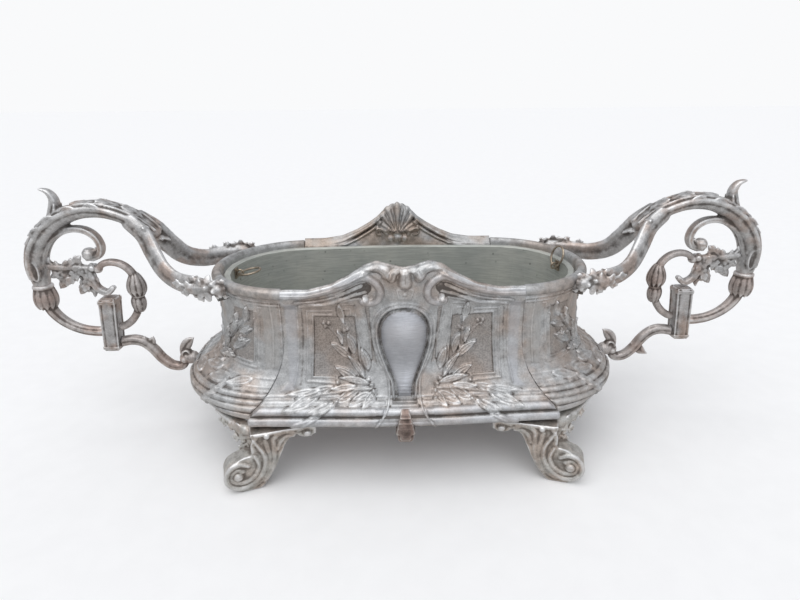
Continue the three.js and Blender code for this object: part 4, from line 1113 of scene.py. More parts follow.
class Relief:
    """Height field worked over a sheet of places (across, up), in millimetres."""

    def __init__(self, across: Array, up: Array) -> None:
        """Starts flat and unpolished."""
        self.x, self.z = across, up
        self.height = np.zeros_like(across)
        self.polish = np.zeros_like(across)
        # paint: brightness that the relief gives the colour, from rubbed edges and tarnished hollows, and
        # on a dome also painted highlight and painted shade
        self.paint = np.zeros_like(across)

    def _near(self, path: Array, margin: float) -> Array:
        """Mask of the places within a margin of a path's box."""
        low, high = path.min(0) - margin, path.max(0) + margin
        return (self.x > low[0]) & (self.x < high[0]) & (self.z > low[1]) & (self.z < high[1])

    def _distance(self, path: Array, mask: Array) -> tuple[Array, Array]:
        """Distance of the masked places to a path, and the share of the way along it.

        Args:
            path: Corners of the path.
            mask: The places to measure.

        Returns:
            Both for each masked place.
        """
        x, z = self.x[mask], self.z[mask]
        best, share = np.full(x.shape, 1e9), np.zeros(x.shape)
        lengths = np.linalg.norm(np.diff(path, axis=0), axis=1)
        start, total = 0.0, max(lengths.sum(), 1e-6)
        for a, b, length in zip(path[:-1], path[1:], lengths):
            t = np.clip(((x - a[0]) * (b[0] - a[0]) + (z - a[1]) * (b[1] - a[1])) / max(length**2, 1e-9), 0,
                1)
            d = np.hypot(x - a[0] - t * (b[0] - a[0]), z - a[1] - t * (b[1] - a[1]))
            closer = d < best
            best = np.where(closer, d, best)
            share = np.where(closer, (start + t * length) / total, share)
            start += length
        return best, share

    @staticmethod
    def _smooth(path: Path) -> Array:
        """Path drawn through its points as a curve."""
        run, _ = spline([(x, 0, z) for x, z in path], 0.8)
        return run[:, [0, 2]]

    def ridge(self, path: Path, half: float | tuple[float, float], height: float, curved: bool = False,
              add: bool = True, flat: float = 2.0, polish: float = 0.0, tone: float = 0.6) -> None:
        """Raises a rounded line.

        Args:
            path: Its corners.
            half: Half width, or one for its start and one for its end.
            height: How far it stands out.
            curved: Whether it is drawn through the corners as a curve.
            add: Adds to what is there; else the higher of the two stays.
            flat: 2 for a round top, more for a flatter one.
            polish: Polish of its top.
            tone: How bright its top is worn.
        """
        line = self._smooth(path) if curved else np.asarray(path, float)
        first, last = half if isinstance(half, tuple) else (half, half)
        mask = self._near(line, max(first, last) + 1.4)
        d, share = self._distance(line, mask)
        reach = first + (last - first) * share
        shape = height * np.clip(1 - (d / reach) ** flat, 0, 1) ** (1 / 1.7)
        now = self.height[mask]
        self.height[mask] = now + shape if add else np.maximum(now, shape)
        t = d / reach
        halo = np.exp(-(((d - reach - 0.35) / 0.5) ** 2))
        self.paint[mask] = np.where(t < 1, self.paint[mask] * 0.3 + tone * (1 - t**2),
            self.paint[mask] - 0.55 * tone * halo)
        if polish:
            self.polish[mask] = np.where(d < reach * 0.8, polish, self.polish[mask])

    def groove(self, path: Path, half: float, depth: float, curved: bool = False) -> None:
        """Cuts a soft line.

        Args:
            path: Its corners.
            half: Half its width.
            depth: Its depth.
            curved: Whether it is drawn through the corners as a curve.
        """
        line = self._smooth(path) if curved else np.asarray(path, float)
        mask = self._near(line, half * 1.8)
        d, _ = self._distance(line, mask)
        cut = np.exp(-((d / half) ** 2) * 1.6)
        self.height[mask] -= depth * cut
        self.paint[mask] -= min(1.0, 0.5 + depth * 0.5) * cut

    def inside(self, outline: Path) -> tuple[Array, Array]:
        """Mask of the places in an outline, and their distance from its edge.

        Args:
            outline: Its corners.

        Returns:
            The mask of what is near, and the distance, below 0 outside.
        """
        line = np.asarray([*outline, outline[0]], float)
        mask = self._near(line, 0.5)
        x, z = self.x[mask], self.z[mask]
        held = np.zeros(x.shape, bool)
        for a, b in zip(line[:-1], line[1:]):
            crosses = (a[1] > z) != (b[1] > z)
            with np.errstate(divide="ignore", invalid="ignore"):
                at = (b[0] - a[0]) * (z - a[1]) / (b[1] - a[1]) + a[0]
            held ^= crosses & (x < at)
        d, _ = self._distance(line, mask)
        return mask, np.where(held, d, -d)

    def field(self, outline: Path, height: float, edge: float = 0.8, polish: float | None = None,
            tone: float = 0.0) -> None:
        """Raises or sinks a whole area with eased edges.

        Args:
            outline: Its corners.
            height: How far it rises.
            edge: Width of its eased edge.
            polish: Its polish; left as it is by None.
            tone: Brightness that is added.
        """
        mask, d = self.inside(outline)
        share = ease(0, edge, d)
        self.height[mask] += height * share
        self.paint[mask] += tone * share - 0.5 * np.exp(-(((d - edge * 0.6) / 0.5) ** 2)) * (height < 0)
        if polish is not None:
            self.polish[mask] = self.polish[mask] * (1 - share) + polish * share

    def dome(self, outline: Path, height: float, reach: float, polish: float = 1.0) -> None:
        """Raises an area to a smooth dome, with a painted highlight on its upper middle and a fainter one
        on a band lower down, and painted shade over the rest, darkest round its edge.

        Args:
            outline: Its corners.
            height: Height of its middle.
            reach: Distance from the edge to the level middle.
            polish: Its polish.
        """
        mask, d = self.inside(outline)
        t = np.clip(d / reach, 0, 1)
        self.height[mask] += height * np.sqrt(np.clip(1 - (1 - t) ** 2, 0, 1))
        self.polish[mask] = np.where(d > 0.7, polish, self.polish[mask])
        # painted highlight on the dome's upper middle and, fainter, on a band lower down; the rest of the
        # dome is painted darker and its edge darker still, as painted shade
        painted_highlight = np.exp(-((self.x[mask] / 8.5) ** 2)
            - ((self.z[mask] - 99) / 7.5) ** 2) + 0.7 * np.exp(-(((self.z[mask] - 66) / 6) ** 2))
        self.paint[mask] = np.where(d > 0.4, 1.15 * painted_highlight - 0.35 - 0.5 * np.exp(-((d / 2.2) ** 2)),
            self.paint[mask])

    def leaf(self, base: Point, tip: Point, half: float, height: float, bend: float = 0.0,
            fill: float = 0.34) -> None:
        """Raises a laurel leaf with standing edges and a midrib.

        Args:
            base: Where it grows from.
            tip: Its point.
            half: Half its width.
            height: How far its edges stand out.
            bend: How far it curves.
            fill: Share of the height that its body has.
        """
        a, b = np.asarray(base, float), np.asarray(tip, float)
        mask = self._near(np.stack([a, b]), half + abs(bend) + 1.6)
        x, z = self.x[mask] - a[0], self.z[mask] - a[1]
        length = np.linalg.norm(b - a)
        forward = (b - a) / length
        u = (x * forward[0] + z * forward[1]) / length
        v = -x * forward[1] + z * forward[0] - bend * 4 * u * (1 - u)
        wide = half * np.clip(np.sin(math.pi * np.clip(u, 0, 1) ** 0.8), 0, 1) ** 0.75 + 1e-3
        gap = np.abs(v) - wide
        beyond = np.maximum(np.maximum(-u, u - 1) * length, 0)
        held = (gap < 0) & (beyond <= 0)
        rim = np.exp(-(((gap + 0.5) / 0.42) ** 2))
        rib = np.exp(-((v / 0.42) ** 2)) * ease(0, 0.1, u) * (1 - ease(0.88, 1.0, u))
        veins = 0.1 * np.cos((u * length - np.abs(v) * 0.9) * 3.2)
        body = np.clip(-gap / 0.5, 0, 1)
        shape = height * (fill + veins * fill * 2 + 0.66 * rim + 0.5 * rib) * body
        self.height[mask] = np.where(held, self.height[mask] * (0.9 - 1.7 * fill) + shape,
            self.height[mask])
        halo = np.exp(-(((np.hypot(np.maximum(gap, 0), beyond) - 0.45) / 0.45) ** 2)) * (beyond < 1.2)
        lit = 1.05 * rim + 0.8 * rib - 0.2
        self.paint[mask] = np.where(held, lit,
            np.minimum(self.paint[mask], self.paint[mask] - (0.3 + 1.5 * fill) * halo))
        self.polish[mask] = np.where(held | (halo > 0.3), np.maximum(self.polish[mask], 0) * 0,
            self.polish[mask])

    def bead(self, centre: Point, radius: float, height: float) -> None:
        """Raises a round berry.

        Args:
            centre: Its place.
            radius: Its radius.
            height: Its height.
        """
        d = np.hypot(self.x - centre[0], self.z - centre[1])
        t = np.clip(1 - (d / radius) ** 2, 0, 1)
        self.height += height * np.sqrt(t)
        self.paint = np.where(t > 0, 0.9 * t,
            self.paint - 0.6 * np.exp(-(((d - radius - 0.35) / 0.4) ** 2)))

    def seasoned(self, amount: float) -> None:
        """Makes the surface uneven, as a hand-chased casting is."""
        waves = ((0.31, 0.23, 0.7), (0.53, -0.41, 2.1), (0.9, 0.77, 4.4), (-1.3, 1.1, 0.2), (1.9, 0.4, 3.3))
        for k, (kx, kz, phase) in enumerate(waves):
            self.height += amount / (k + 1) * np.sin(kx * self.x + kz * self.z + phase)


class Crest(Enum):
    """Middle ornament on the rim of a long casting."""

    PALMETTE = "palmette"
    SHELL = "shell"


# ---- long castings


DOME = (
    (0, 108.6), (4, 108.2), (7.6, 106.8), (10.6, 104.4), (12.8, 101), (13.9, 97), (14, 92), (13.2, 86),
    (11.6, 80), (9.4, 74), (6.9, 68), (5.3, 64), (4.7, 60), (4.3, 55.9),
)
FRAME_LINE = (
    (0, 112.4), (6, 111.7), (11.4, 109.6), (15.6, 105.8), (18, 100.6), (18.3, 94), (17.4, 85), (14, 75.7),
    (10.4, 68.5), (9.3, 62.4), (9.9, 53.1), (13, 47.3), (18, 40.6),
)
LAUREL_STEM = ((20.6, 62.5), (27, 71), (33.3, 82), (38.5, 90), (44.5, 97.2))
LAUREL_LEAVES = (
    ((32, 77.5), (43.6, 87), 2.5), ((29.6, 80), (33.4, 92.4), 2.2), ((21.3, 70.6), (25.4, 84), 2.3),
    ((27.8, 64), (41.6, 72.4), 2.6), ((23.6, 66.4), (33.6, 80), 2.0), ((36.4, 86), (39.6, 95.6), 1.5),
    ((20.8, 63.2), (39, 66.4), 1.9), ((37.6, 112), (34.6, 98.8), 1.9),
)
LOWER_LEAVES = (
    ((42.6, 61.6), (65.5, 55), 2.4), ((49.6, 58.2), (72.3, 49.8), 2.5), ((42.5, 53.6), (58, 49.2), 2.0),
    ((27, 60.8), (41.6, 53.6), 2.5), ((20.8, 58.4), (33.8, 52.6), 2.4), ((49.8, 59.6), (71.2, 57), 1.9),
    ((16.6, 60), (25.6, 51.6), 2.2), ((29, 62), (45, 60.2), 1.8),
)
BERRIES = (
    (46.2, 97.2), (44.2, 99.2), (47.2, 99.4), (35.2, 94.6), (33.2, 95.6), (21.2, 65.6), (19.4, 62.5),
    (18.4, 59), (18.4, 55.5), (39.8, 63.8),
)
ROLL = (
    (73, 118.2), (56, 118.7), (44, 121.2), (35, 124.4), (27, 128.2), (22.5, 129.2), (17.2, 127),
    (13.6, 122.4), (13.4, 118.4), (15.4, 115), (19.4, 113.2), (23.6, 114.6),
)


@dataclass
class LongCasting:
    """Front or back casting: flared face with its relief, rolled rim and crest."""

    name: str
    side: int
    crest: Crest
    finish: CastFinish
    columns: int = 400
    face_rows: int = 142
    crest_rows: int = 46
    inner_rows: int = 28
    crest_from: float = 106.6
    crown: float = 1.3

    def top(self, x: Array) -> Array:
        """Height of the crest's edge, with the scallops of its leaves.

        Args:
            x: Distance from the middle.

        Returns:
            The height.
        """
        table = FRONT_CREST if self.crest is Crest.PALMETTE else BACK_CREST
        fine = np.linspace(0, 75, 301)
        level = along(table, fine)
        kernel = np.hanning(25)
        level = np.convolve(np.pad(level, 12, mode="edge"), kernel / kernel.sum(), "valid")
        height = np.interp(x, fine, level)
        if self.crest is Crest.SHELL:
            fan = np.exp(-((x / 11.5) ** 6))
            return height + fan * 0.9 * (np.abs(np.cos(x * math.pi / 4.4)) - 0.5)
        lobes = ease(5, 8, x) * (1 - ease(24, 30, x))
        return height + lobes * 0.2 * (np.abs(np.cos((x - 3) * math.pi / 6.2)) - 0.5)

    def depth(self, z: Array, rise: Array) -> Array:
        """Depth of the face before its relief.

        Args:
            z: Height.
            rise: Rise of the crest there.

        Returns:
            The depth.
        """
        low = np.interp(z, (39.6, 41, 43, 46.5, 50, 52.6, 55), (72.6, 74.4, 75.3, 74.9, 73.2, 70.4, 67.2))
        flare = np.where(z < 55, low, front_depth(z))
        lift = ease(0, 1, (z - 107.5) / (5.6 + rise * 0.9))
        return flare + lift * 2.5

    def sheet(self) -> tuple[Array, Array, Array]:
        """Points of the outer face, with their place across and up.

        Returns:
            Points by row and column, distance from the middle, and height.
        """
        share = np.linspace(-1, 1, self.columns)[None, :]
        across = np.abs(share) * NECK_HALF_WIDTH
        rise = along(RIM_RISE, across)
        top = self.top(across) - self.crown
        low = np.linspace(BASE, self.crest_from, self.face_rows)[:, None] + 0 * share
        climb = np.linspace(0, 1, self.crest_rows + 1)[1:, None]
        high = self.crest_from + (top - self.crest_from) * climb
        z = np.concatenate([low, high])
        share = share + 0 * z
        x = share * half_width(z)
        y = self.depth(z, rise + 0 * z) + bow(share)
        return np.stack([x, -y, z], axis=-1), np.abs(x), z

    def relief(self, x: Array, z: Array, signed: Array) -> Relief:
        """All the ornament of the face, worked for both halves at once.

        Args:
            x: Distance from the middle.
            z: Height.
            signed: Place across, below 0 on the left.

        Returns:
            The relief.
        """
        work = Relief(x, z)
        self.reeds(work)
        self.panels(work)
        self.medallion(work)
        self.branches(work)
        self.rim(work)
        if self.crest is Crest.SHELL:
            self.shell(work)
        else:
            self.palmette(work, signed)
        work.seasoned(0.035)
        return work

    def reeds(self, work: Relief) -> None:
        """Reeds along the foot of the face, tied by a ribbon."""
        outer = along(((40, 19), (46, 14.6), (52, 11)), work.z)
        free = ease(0, 1.2, work.x - outer)
        before = work.height.copy()
        for z, half, height in ((44.2, 2.7, 1.7), (50.0, 2.1, 1.4), (53.8, 0.9, 0.6), (56.4, 0.7, 0.35)):
            work.ridge([(0, z), (95, z)], half, height, polish=0.35 if z < 52 else 0.0)
        work.groove([(0, 47.4), (95, 47.4)], 0.9, 1.1)
        work.groove([(0, 40.4), (95, 40.4)], 1.2, 0.4)
        work.height = before + (work.height - before) * free
        for z in (44.6, 48.2, 51.6):
            work.groove([(0, z), (17, z)], 0.6, 0.45)
        work.ridge([(40.5, 54.4), (50, 49.4), (59, 44.4), (66, 41.6)], (1.3, 2.1), 1.0, curved=True, flat=6)
        work.groove([(42, 53.6), (50, 49.4), (59, 44.4), (66, 41.6)], 0.35, 0.35, curved=True)

    def panels(self, work: Relief) -> None:
        """Stepped frame, matted ground and pilaster on each side of the medallion."""
        work.field([(61.4, 113), (70.2, 113), (70, 64), (76, 58), (66, 58), (62.6, 66)], 0.3, 1.6,
            polish=0.5, tone=0.12)
        work.field([(28.5, 104), (52.6, 104), (54.6, 66.6), (26, 66.6)], -0.9, 0.8, polish=-1.0)
        work.field([(19.6, 110), (23, 111), (20.4, 90), (19.3, 76), (16, 74), (19.4, 92)], -0.5, 0.8,
            polish=-0.8)
        for line, half, height in (
            (((62, 110), (62.2, 92), (63, 76), (66, 61.6)), 0.55, 0.6),
            (((41.5, 107.4), (56.4, 107.4), (56.7, 92), (58.6, 64.2), (40, 63.2)), 0.6, 0.75),
            (((41.8, 104.8), (53.2, 104.8), (53.6, 90), (55.2, 66.6), (42, 66.4)), 0.5, 0.6),
            (((28.2, 110), (27.6, 100), (26.2, 91), (23.2, 77.6)), 0.55, 0.8),
            (((23.2, 111.4), (21.6, 100), (19.9, 92), (19.4, 77.6)), 0.5, 0.7),
            (((29, 111.8), (35.5, 111.8), (35.5, 108.6), (31, 108.6), (31, 105)), 0.45, 0.6),
        ):
            work.ridge(line, half, height)
        work.groove([(59.4, 109), (59.6, 92), (61, 72), (62.4, 62)], 0.8, 0.25)

    def medallion(self, work: Relief) -> None:
        """Smooth domed shield in its frame, over a keyhole stem."""
        outline = [*DOME, *[(-x, z) for x, z in reversed(DOME[1:])]]
        work.field([*FRAME_LINE, *[(-x, z) for x, z in reversed(FRAME_LINE[1:])]], 0.5, 0.9)
        work.ridge(FRAME_LINE, 0.75, 0.9, curved=True)
        ring = self.offset(DOME, 2.0)
        work.ridge(ring, (1.05, 0.7), 1.35, curved=True)
        work.groove(self.offset(DOME, 0.5), 0.55, 0.9)
        work.dome(outline, 4.4, 14.0)
        work.groove([(0, 54.3), (6.8, 54.3)], 0.75, 1.5)
        work.ridge([(0, 52.4), (7.4, 52.4)], 0.7, 0.7)
        work.ridge([(7.4, 64), (7.2, 60), (6.6, 56.6)], 0.5, 0.5)
        for z in (57.6, 59.4, 61.2, 63):
            work.groove([(0, z), (4.2, z)], 0.4, 0.25)

    @staticmethod
    def offset(path: Path, distance: float) -> list[tuple[float, float]]:
        """Path moved outwards, its first point kept on the middle line.

        Args:
            path: Its corners.
            distance: How far it is moved.

        Returns:
            The moved corners.
        """
        line = np.asarray(path, float)
        way = unit(np.gradient(line, axis=0))
        out = line + np.stack([-way[:, 1], way[:, 0]], axis=1) * distance
        out[0, 0] = 0
        return [tuple(p) for p in out]

    def branches(self, work: Relief) -> None:
        """Laurel spray beside the medallion and the branch that lies on the flare."""
        work.ridge(LAUREL_STEM, (0.8, 0.5), 1.1, curved=True)
        work.ridge([(33.3, 82), (33.6, 88), (34.4, 93.6)], (0.5, 0.35), 0.9, curved=True)
        work.ridge([(18.6, 60.4), (28, 60), (40, 58.4), (52, 57)], (0.8, 0.5), 1.0, curved=True)
        for base, tip, half in LAUREL_LEAVES:
            work.leaf(base, tip, half, 1.35, 0.5)
        for base, tip, half in LOWER_LEAVES:
            work.leaf(base, tip, half, 1.0, -0.4, 0.14)
        for x, z in BERRIES:
            work.bead((x, z), 1.25, 1.25)

    def rim(self, work: Relief) -> None:
        """Rolled rim that curls down into a C scroll, with its mouldings."""
        work.field([(18, 121), (17.6, 124), (21, 126.6), (27, 125), (36, 120), (40, 117), (30, 115.6),
            (22, 116.4)], -1.7, 1.2, tone=-0.9)
        for line in (((62.5, 113.4), (50, 114.6), (40, 117), (31, 120.6), (24, 124)),
                ((60, 110.9), (46, 112.2), (37, 114.8), (29, 118), (22, 120))):
            work.ridge(line, 0.95, 1.35, curved=True)
        work.ridge([(64, 112.4), (40, 113), (24, 116)], 0.5, 0.4, curved=True)
        work.ridge(ROLL, (3.1, 2.3), 3.4, curved=True, add=False, polish=0.3, flat=2.4)
        work.bead((21.6, 116.6), 2.0, 1.2)
        work.groove([(52, 121.6), (46.5, 123.2), (34.9, 128), (27.1, 131.9), (19.7, 132.8), (12.3, 130.2)],
            0.7, 0.9, curved=True)

    def palmette(self, work: Relief, signed: Array) -> None:
        """Drooping palmette over a small plaque, with a leaf on each shoulder.

        Args:
            work: Relief of the face.
            signed: Place across, below 0 on the left.
        """
        middle = Relief(signed - 0.8, work.z)
        petals = (
            ((0, 132), (0, 129), (0, 125.6), (3.0, 4.2), 3.2),
            ((3.8, 133.4), (6.4, 131.4), (7.6, 128.2), (1.9, 2.6), 2.6),
        )
        for start, knee, end, half, height in petals:
            for hand in (-1, 1):
                path = [(hand * x, z) for x, z in (start, knee, end)]
                middle.ridge(path, half, height, curved=True, add=False, flat=2.6)
                middle.groove(path, 0.35, 0.35, curved=True)
        for path in ([(-4.8, 121.2), (4.8, 121.2), (3.4, 115.4), (-3.4, 115.4), (-4.8, 121.2)],):
            middle.ridge(path, 0.5, 0.6)
        middle.bead((0, 118.4), 1.3, 0.6)
        work.paint = np.where(np.abs(middle.paint) > 0.02, middle.paint, work.paint)
        work.height += middle.height
        work.ridge([(9.6, 130.6), (11.4, 133.6), (16, 135.2), (22, 133.2), (32, 128), (46, 122.6)],
            (3.2, 1.5), 2.1, curved=True, flat=3, tone=0.75)
        for path in ([(11, 133), (15.6, 136.2), (21.6, 134.6), (31, 129.6)],
                [(10.6, 130.6), (13.4, 133.2), (18, 133.2), (27, 129.4)]):
            work.groove(path, 0.4, 0.5, curved=True)

    def shell(self, work: Relief) -> None:
        """Ribbed shell that rises from the middle, over a small palmette."""
        for k in range(5):
            angle = math.radians(90 - k * 17.5)
            reach = 25 - k * 2.6
            start = (1.2 * k * 0.5, 123 + 1.5 * math.sin(angle))
            work.ridge([start, (start[0] + reach * math.cos(angle), start[1] + reach * math.sin(angle))],
                (0.9, 2.5), 2.4, flat=2.2)
        work.ridge([(0, 121), (4.4, 119.8), (8.2, 121.6), (9, 125)], (1.5, 1.0), 1.8, curved=True)
        work.bead((0, 119.6), 2.6, 2.2)
        for x, z, tip_x, tip_z in ((12.6, 128.4, 18, 132.8), (17, 128.6, 24, 130.6), (23, 127, 32, 126.4)):
            work.leaf((x, z), (tip_x, tip_z), 2.2, 1.5, 0.5)

    def build(self) -> bpy.types.Object:
        """Works the relief into the face and closes the casting behind it."""
        face, across, up = self.sheet()
        work = self.relief(across, up, face[..., 0])
        face = raised(face, work.height, (1, 5), 2.5, 0.35)
        back, inner_paint = self.back_rows(np.linspace(-1, 1, self.columns), -face[-1, :, 1],
            face[-1, :, 2])
        polish = np.concatenate([work.polish, np.zeros(back.shape[:2])])
        shell = wall_shell(np.concatenate([face, back]), polish, np.concatenate([work.paint, inner_paint]),
            1)
        if self.side > 0:
            shell = shell.turned_over(-1, -1)
        return make_piece(self.name, shell, self.finish)

    def inner_relief(self, x: Array, z: Array, top: Array) -> Relief:
        """Relief on the face of the crest that looks into the bowl.

        Args:
            x: Place across.
            z: Height.
            top: Height of the crest's edge.

        Returns:
            The relief.
        """
        work = Relief(np.abs(x), z)
        middle = x.shape[1] // 2
        out = np.linspace(0, 62, 40)
        crest = np.stack([out, np.interp(out, x[0, middle:], top[middle:])], axis=1)
        shell = self.crest is Crest.SHELL
        first = 11.5 if shell else 5.0
        below = crest[crest[:, 0] > first]
        work.ridge(below - (0, 1.8), (1.6, 1.3), 1.9)
        work.groove(below - (0, 3.8), 0.8, 1.2)
        work.ridge(below - (0, 5.6), (1.3, 0.9), 2.0)
        if shell:
            for k in range(5):
                angle = math.radians(90 - k * 19)
                reach = 21.5 - k * 2.4
                start = (0.5 + 0.6 * k, 124.5)
                end = (start[0] + reach * math.cos(angle), start[1] + reach * math.sin(angle))
                work.ridge([start, end], (0.7, 2.5), 2.3, flat=2.2, tone=0.1)
                work.groove([start, (end[0] + 2.6 * math.sin(angle), end[1] - 2.4 * math.cos(angle))], 0.5,
                    0.8)
            work.bead((0, 121), 4.2, 2.2)
            work.bead((5.4, 120), 2.4, 1.2)
            work.ridge([(8, 123), (12.6, 127.4), (16, 126.6), (15.4, 123.4), (12.6, 123)], (1.2, 0.7), 1.8,
                curved=True)
        else:
            work.ridge([(9, 131), (15, 134), (20, 132), (20, 128.4), (16.6, 127.6)], (1.3, 0.8), 1.2,
                curved=True)
            work.bead((0, 128), 3.0, 1.2)
        work.seasoned(0.12)
        return work

    def back_rows(self, share: Array, edge: Array, top: Array) -> tuple[Array,
            Array]:
        """Rows over the crest, down to the liner's ledge and down the inside.

        Args:
            share: Place across, from -1 to 1.
            edge: Depth of the crest's edge.
            top: Its height.

        Returns:
            The points by row and column, and their paint.
        """
        out = bow(share)
        rise = along(RIM_RISE, np.abs(share) * NECK_HALF_WIDTH)
        rows = []
        for degrees in (30, 60, 90, 120, 150, 180):
            a = math.radians(degrees)
            rows.append((edge - self.crown + self.crown * math.cos(a), top + self.crown * math.sin(a)))
        shoulder = (edge - 2 * self.crown, top)
        lip = (LIP_INNER + out, 115.8 + 0 * out)
        t = np.linspace(0.04, 1, self.inner_rows)[:, None]
        depth = shoulder[0] * (1 - t) + lip[0] * t - 0.9 * np.sin(math.pi * t) * (rise / 10.5)
        height = shoulder[1] * (1 - t) + lip[1] * t
        x = share * half_width(height)
        work = self.inner_relief(x, height, top)
        fade = ease(0, 0.08, t) * (1 - ease(0.93, 1.0, t)) * np.clip((height[0] - 118) / 5, 0.0, 1)
        slope = np.clip((shoulder[1] - lip[1]) / 11, 0.2, 1)
        shift = work.height * fade * slope
        rows.extend(zip(depth - shift, height + 0.25 * shift))
        paint = [np.zeros(share.shape)] * 6 + list(work.paint * fade * slope)
        inner = ((LIP_INNER, LEDGE_TOP), (LEDGE_INNER, LEDGE_TOP), (LEDGE_INNER, 111.6), (51.4, 110.6),
            (52.4, 96), (52.6, 83),
                 (55, 72), (59.4, 64), (64.6, 57), (69, 49.6), (69.4, 46.4), (69.4, BASE))
        for depth_in, z in inner:
            rows.append((depth_in + out, z + 0 * out))
            paint.append(np.zeros(share.shape))
        stack = []
        for depth_in, z in rows:
            returned = np.abs(share) >= 0.955
            seam = end_point(np.array(1.0), along(END_REACH, z), along(END_DEPTH, z),
                along(END_FULLNESS, z), z)[..., 1]
            behind = np.where(z < 47, 58, seam - WALL - 0.4)
            held = np.where(returned & (z < 112), np.minimum(depth_in, behind), depth_in)
            stack.append(np.stack([share * half_width(z), -held, z], axis=-1))
        return np.stack(stack), np.stack(paint)


# ---- round ends


END_LEAVES = (
    ((29.3, 77.2), (57.9, 98.5), 3.0), ((58, 96.4), (60.5, 107), 2.2), ((44, 76), (60, 84.6), 2.6),
    ((14.7, 67.5), (45.7, 70.4), 3.0), ((31, 72), (40, 90), 2.4), ((47, 88), (49, 100.6), 2.0),
    ((26, 70), (20, 84), 2.2), ((52.6, 88.6), (63.4, 92.6), 1.9),
)
END_LOW_LEAVES = (
    ((66, 62.4), (50, 58.4), 2.2), ((50, 60.4), (36, 58.6), 2.2), ((40, 63.4), (22, 60.4), 2.3),
    ((28, 57.4), (12, 58.6), 2.0),
)


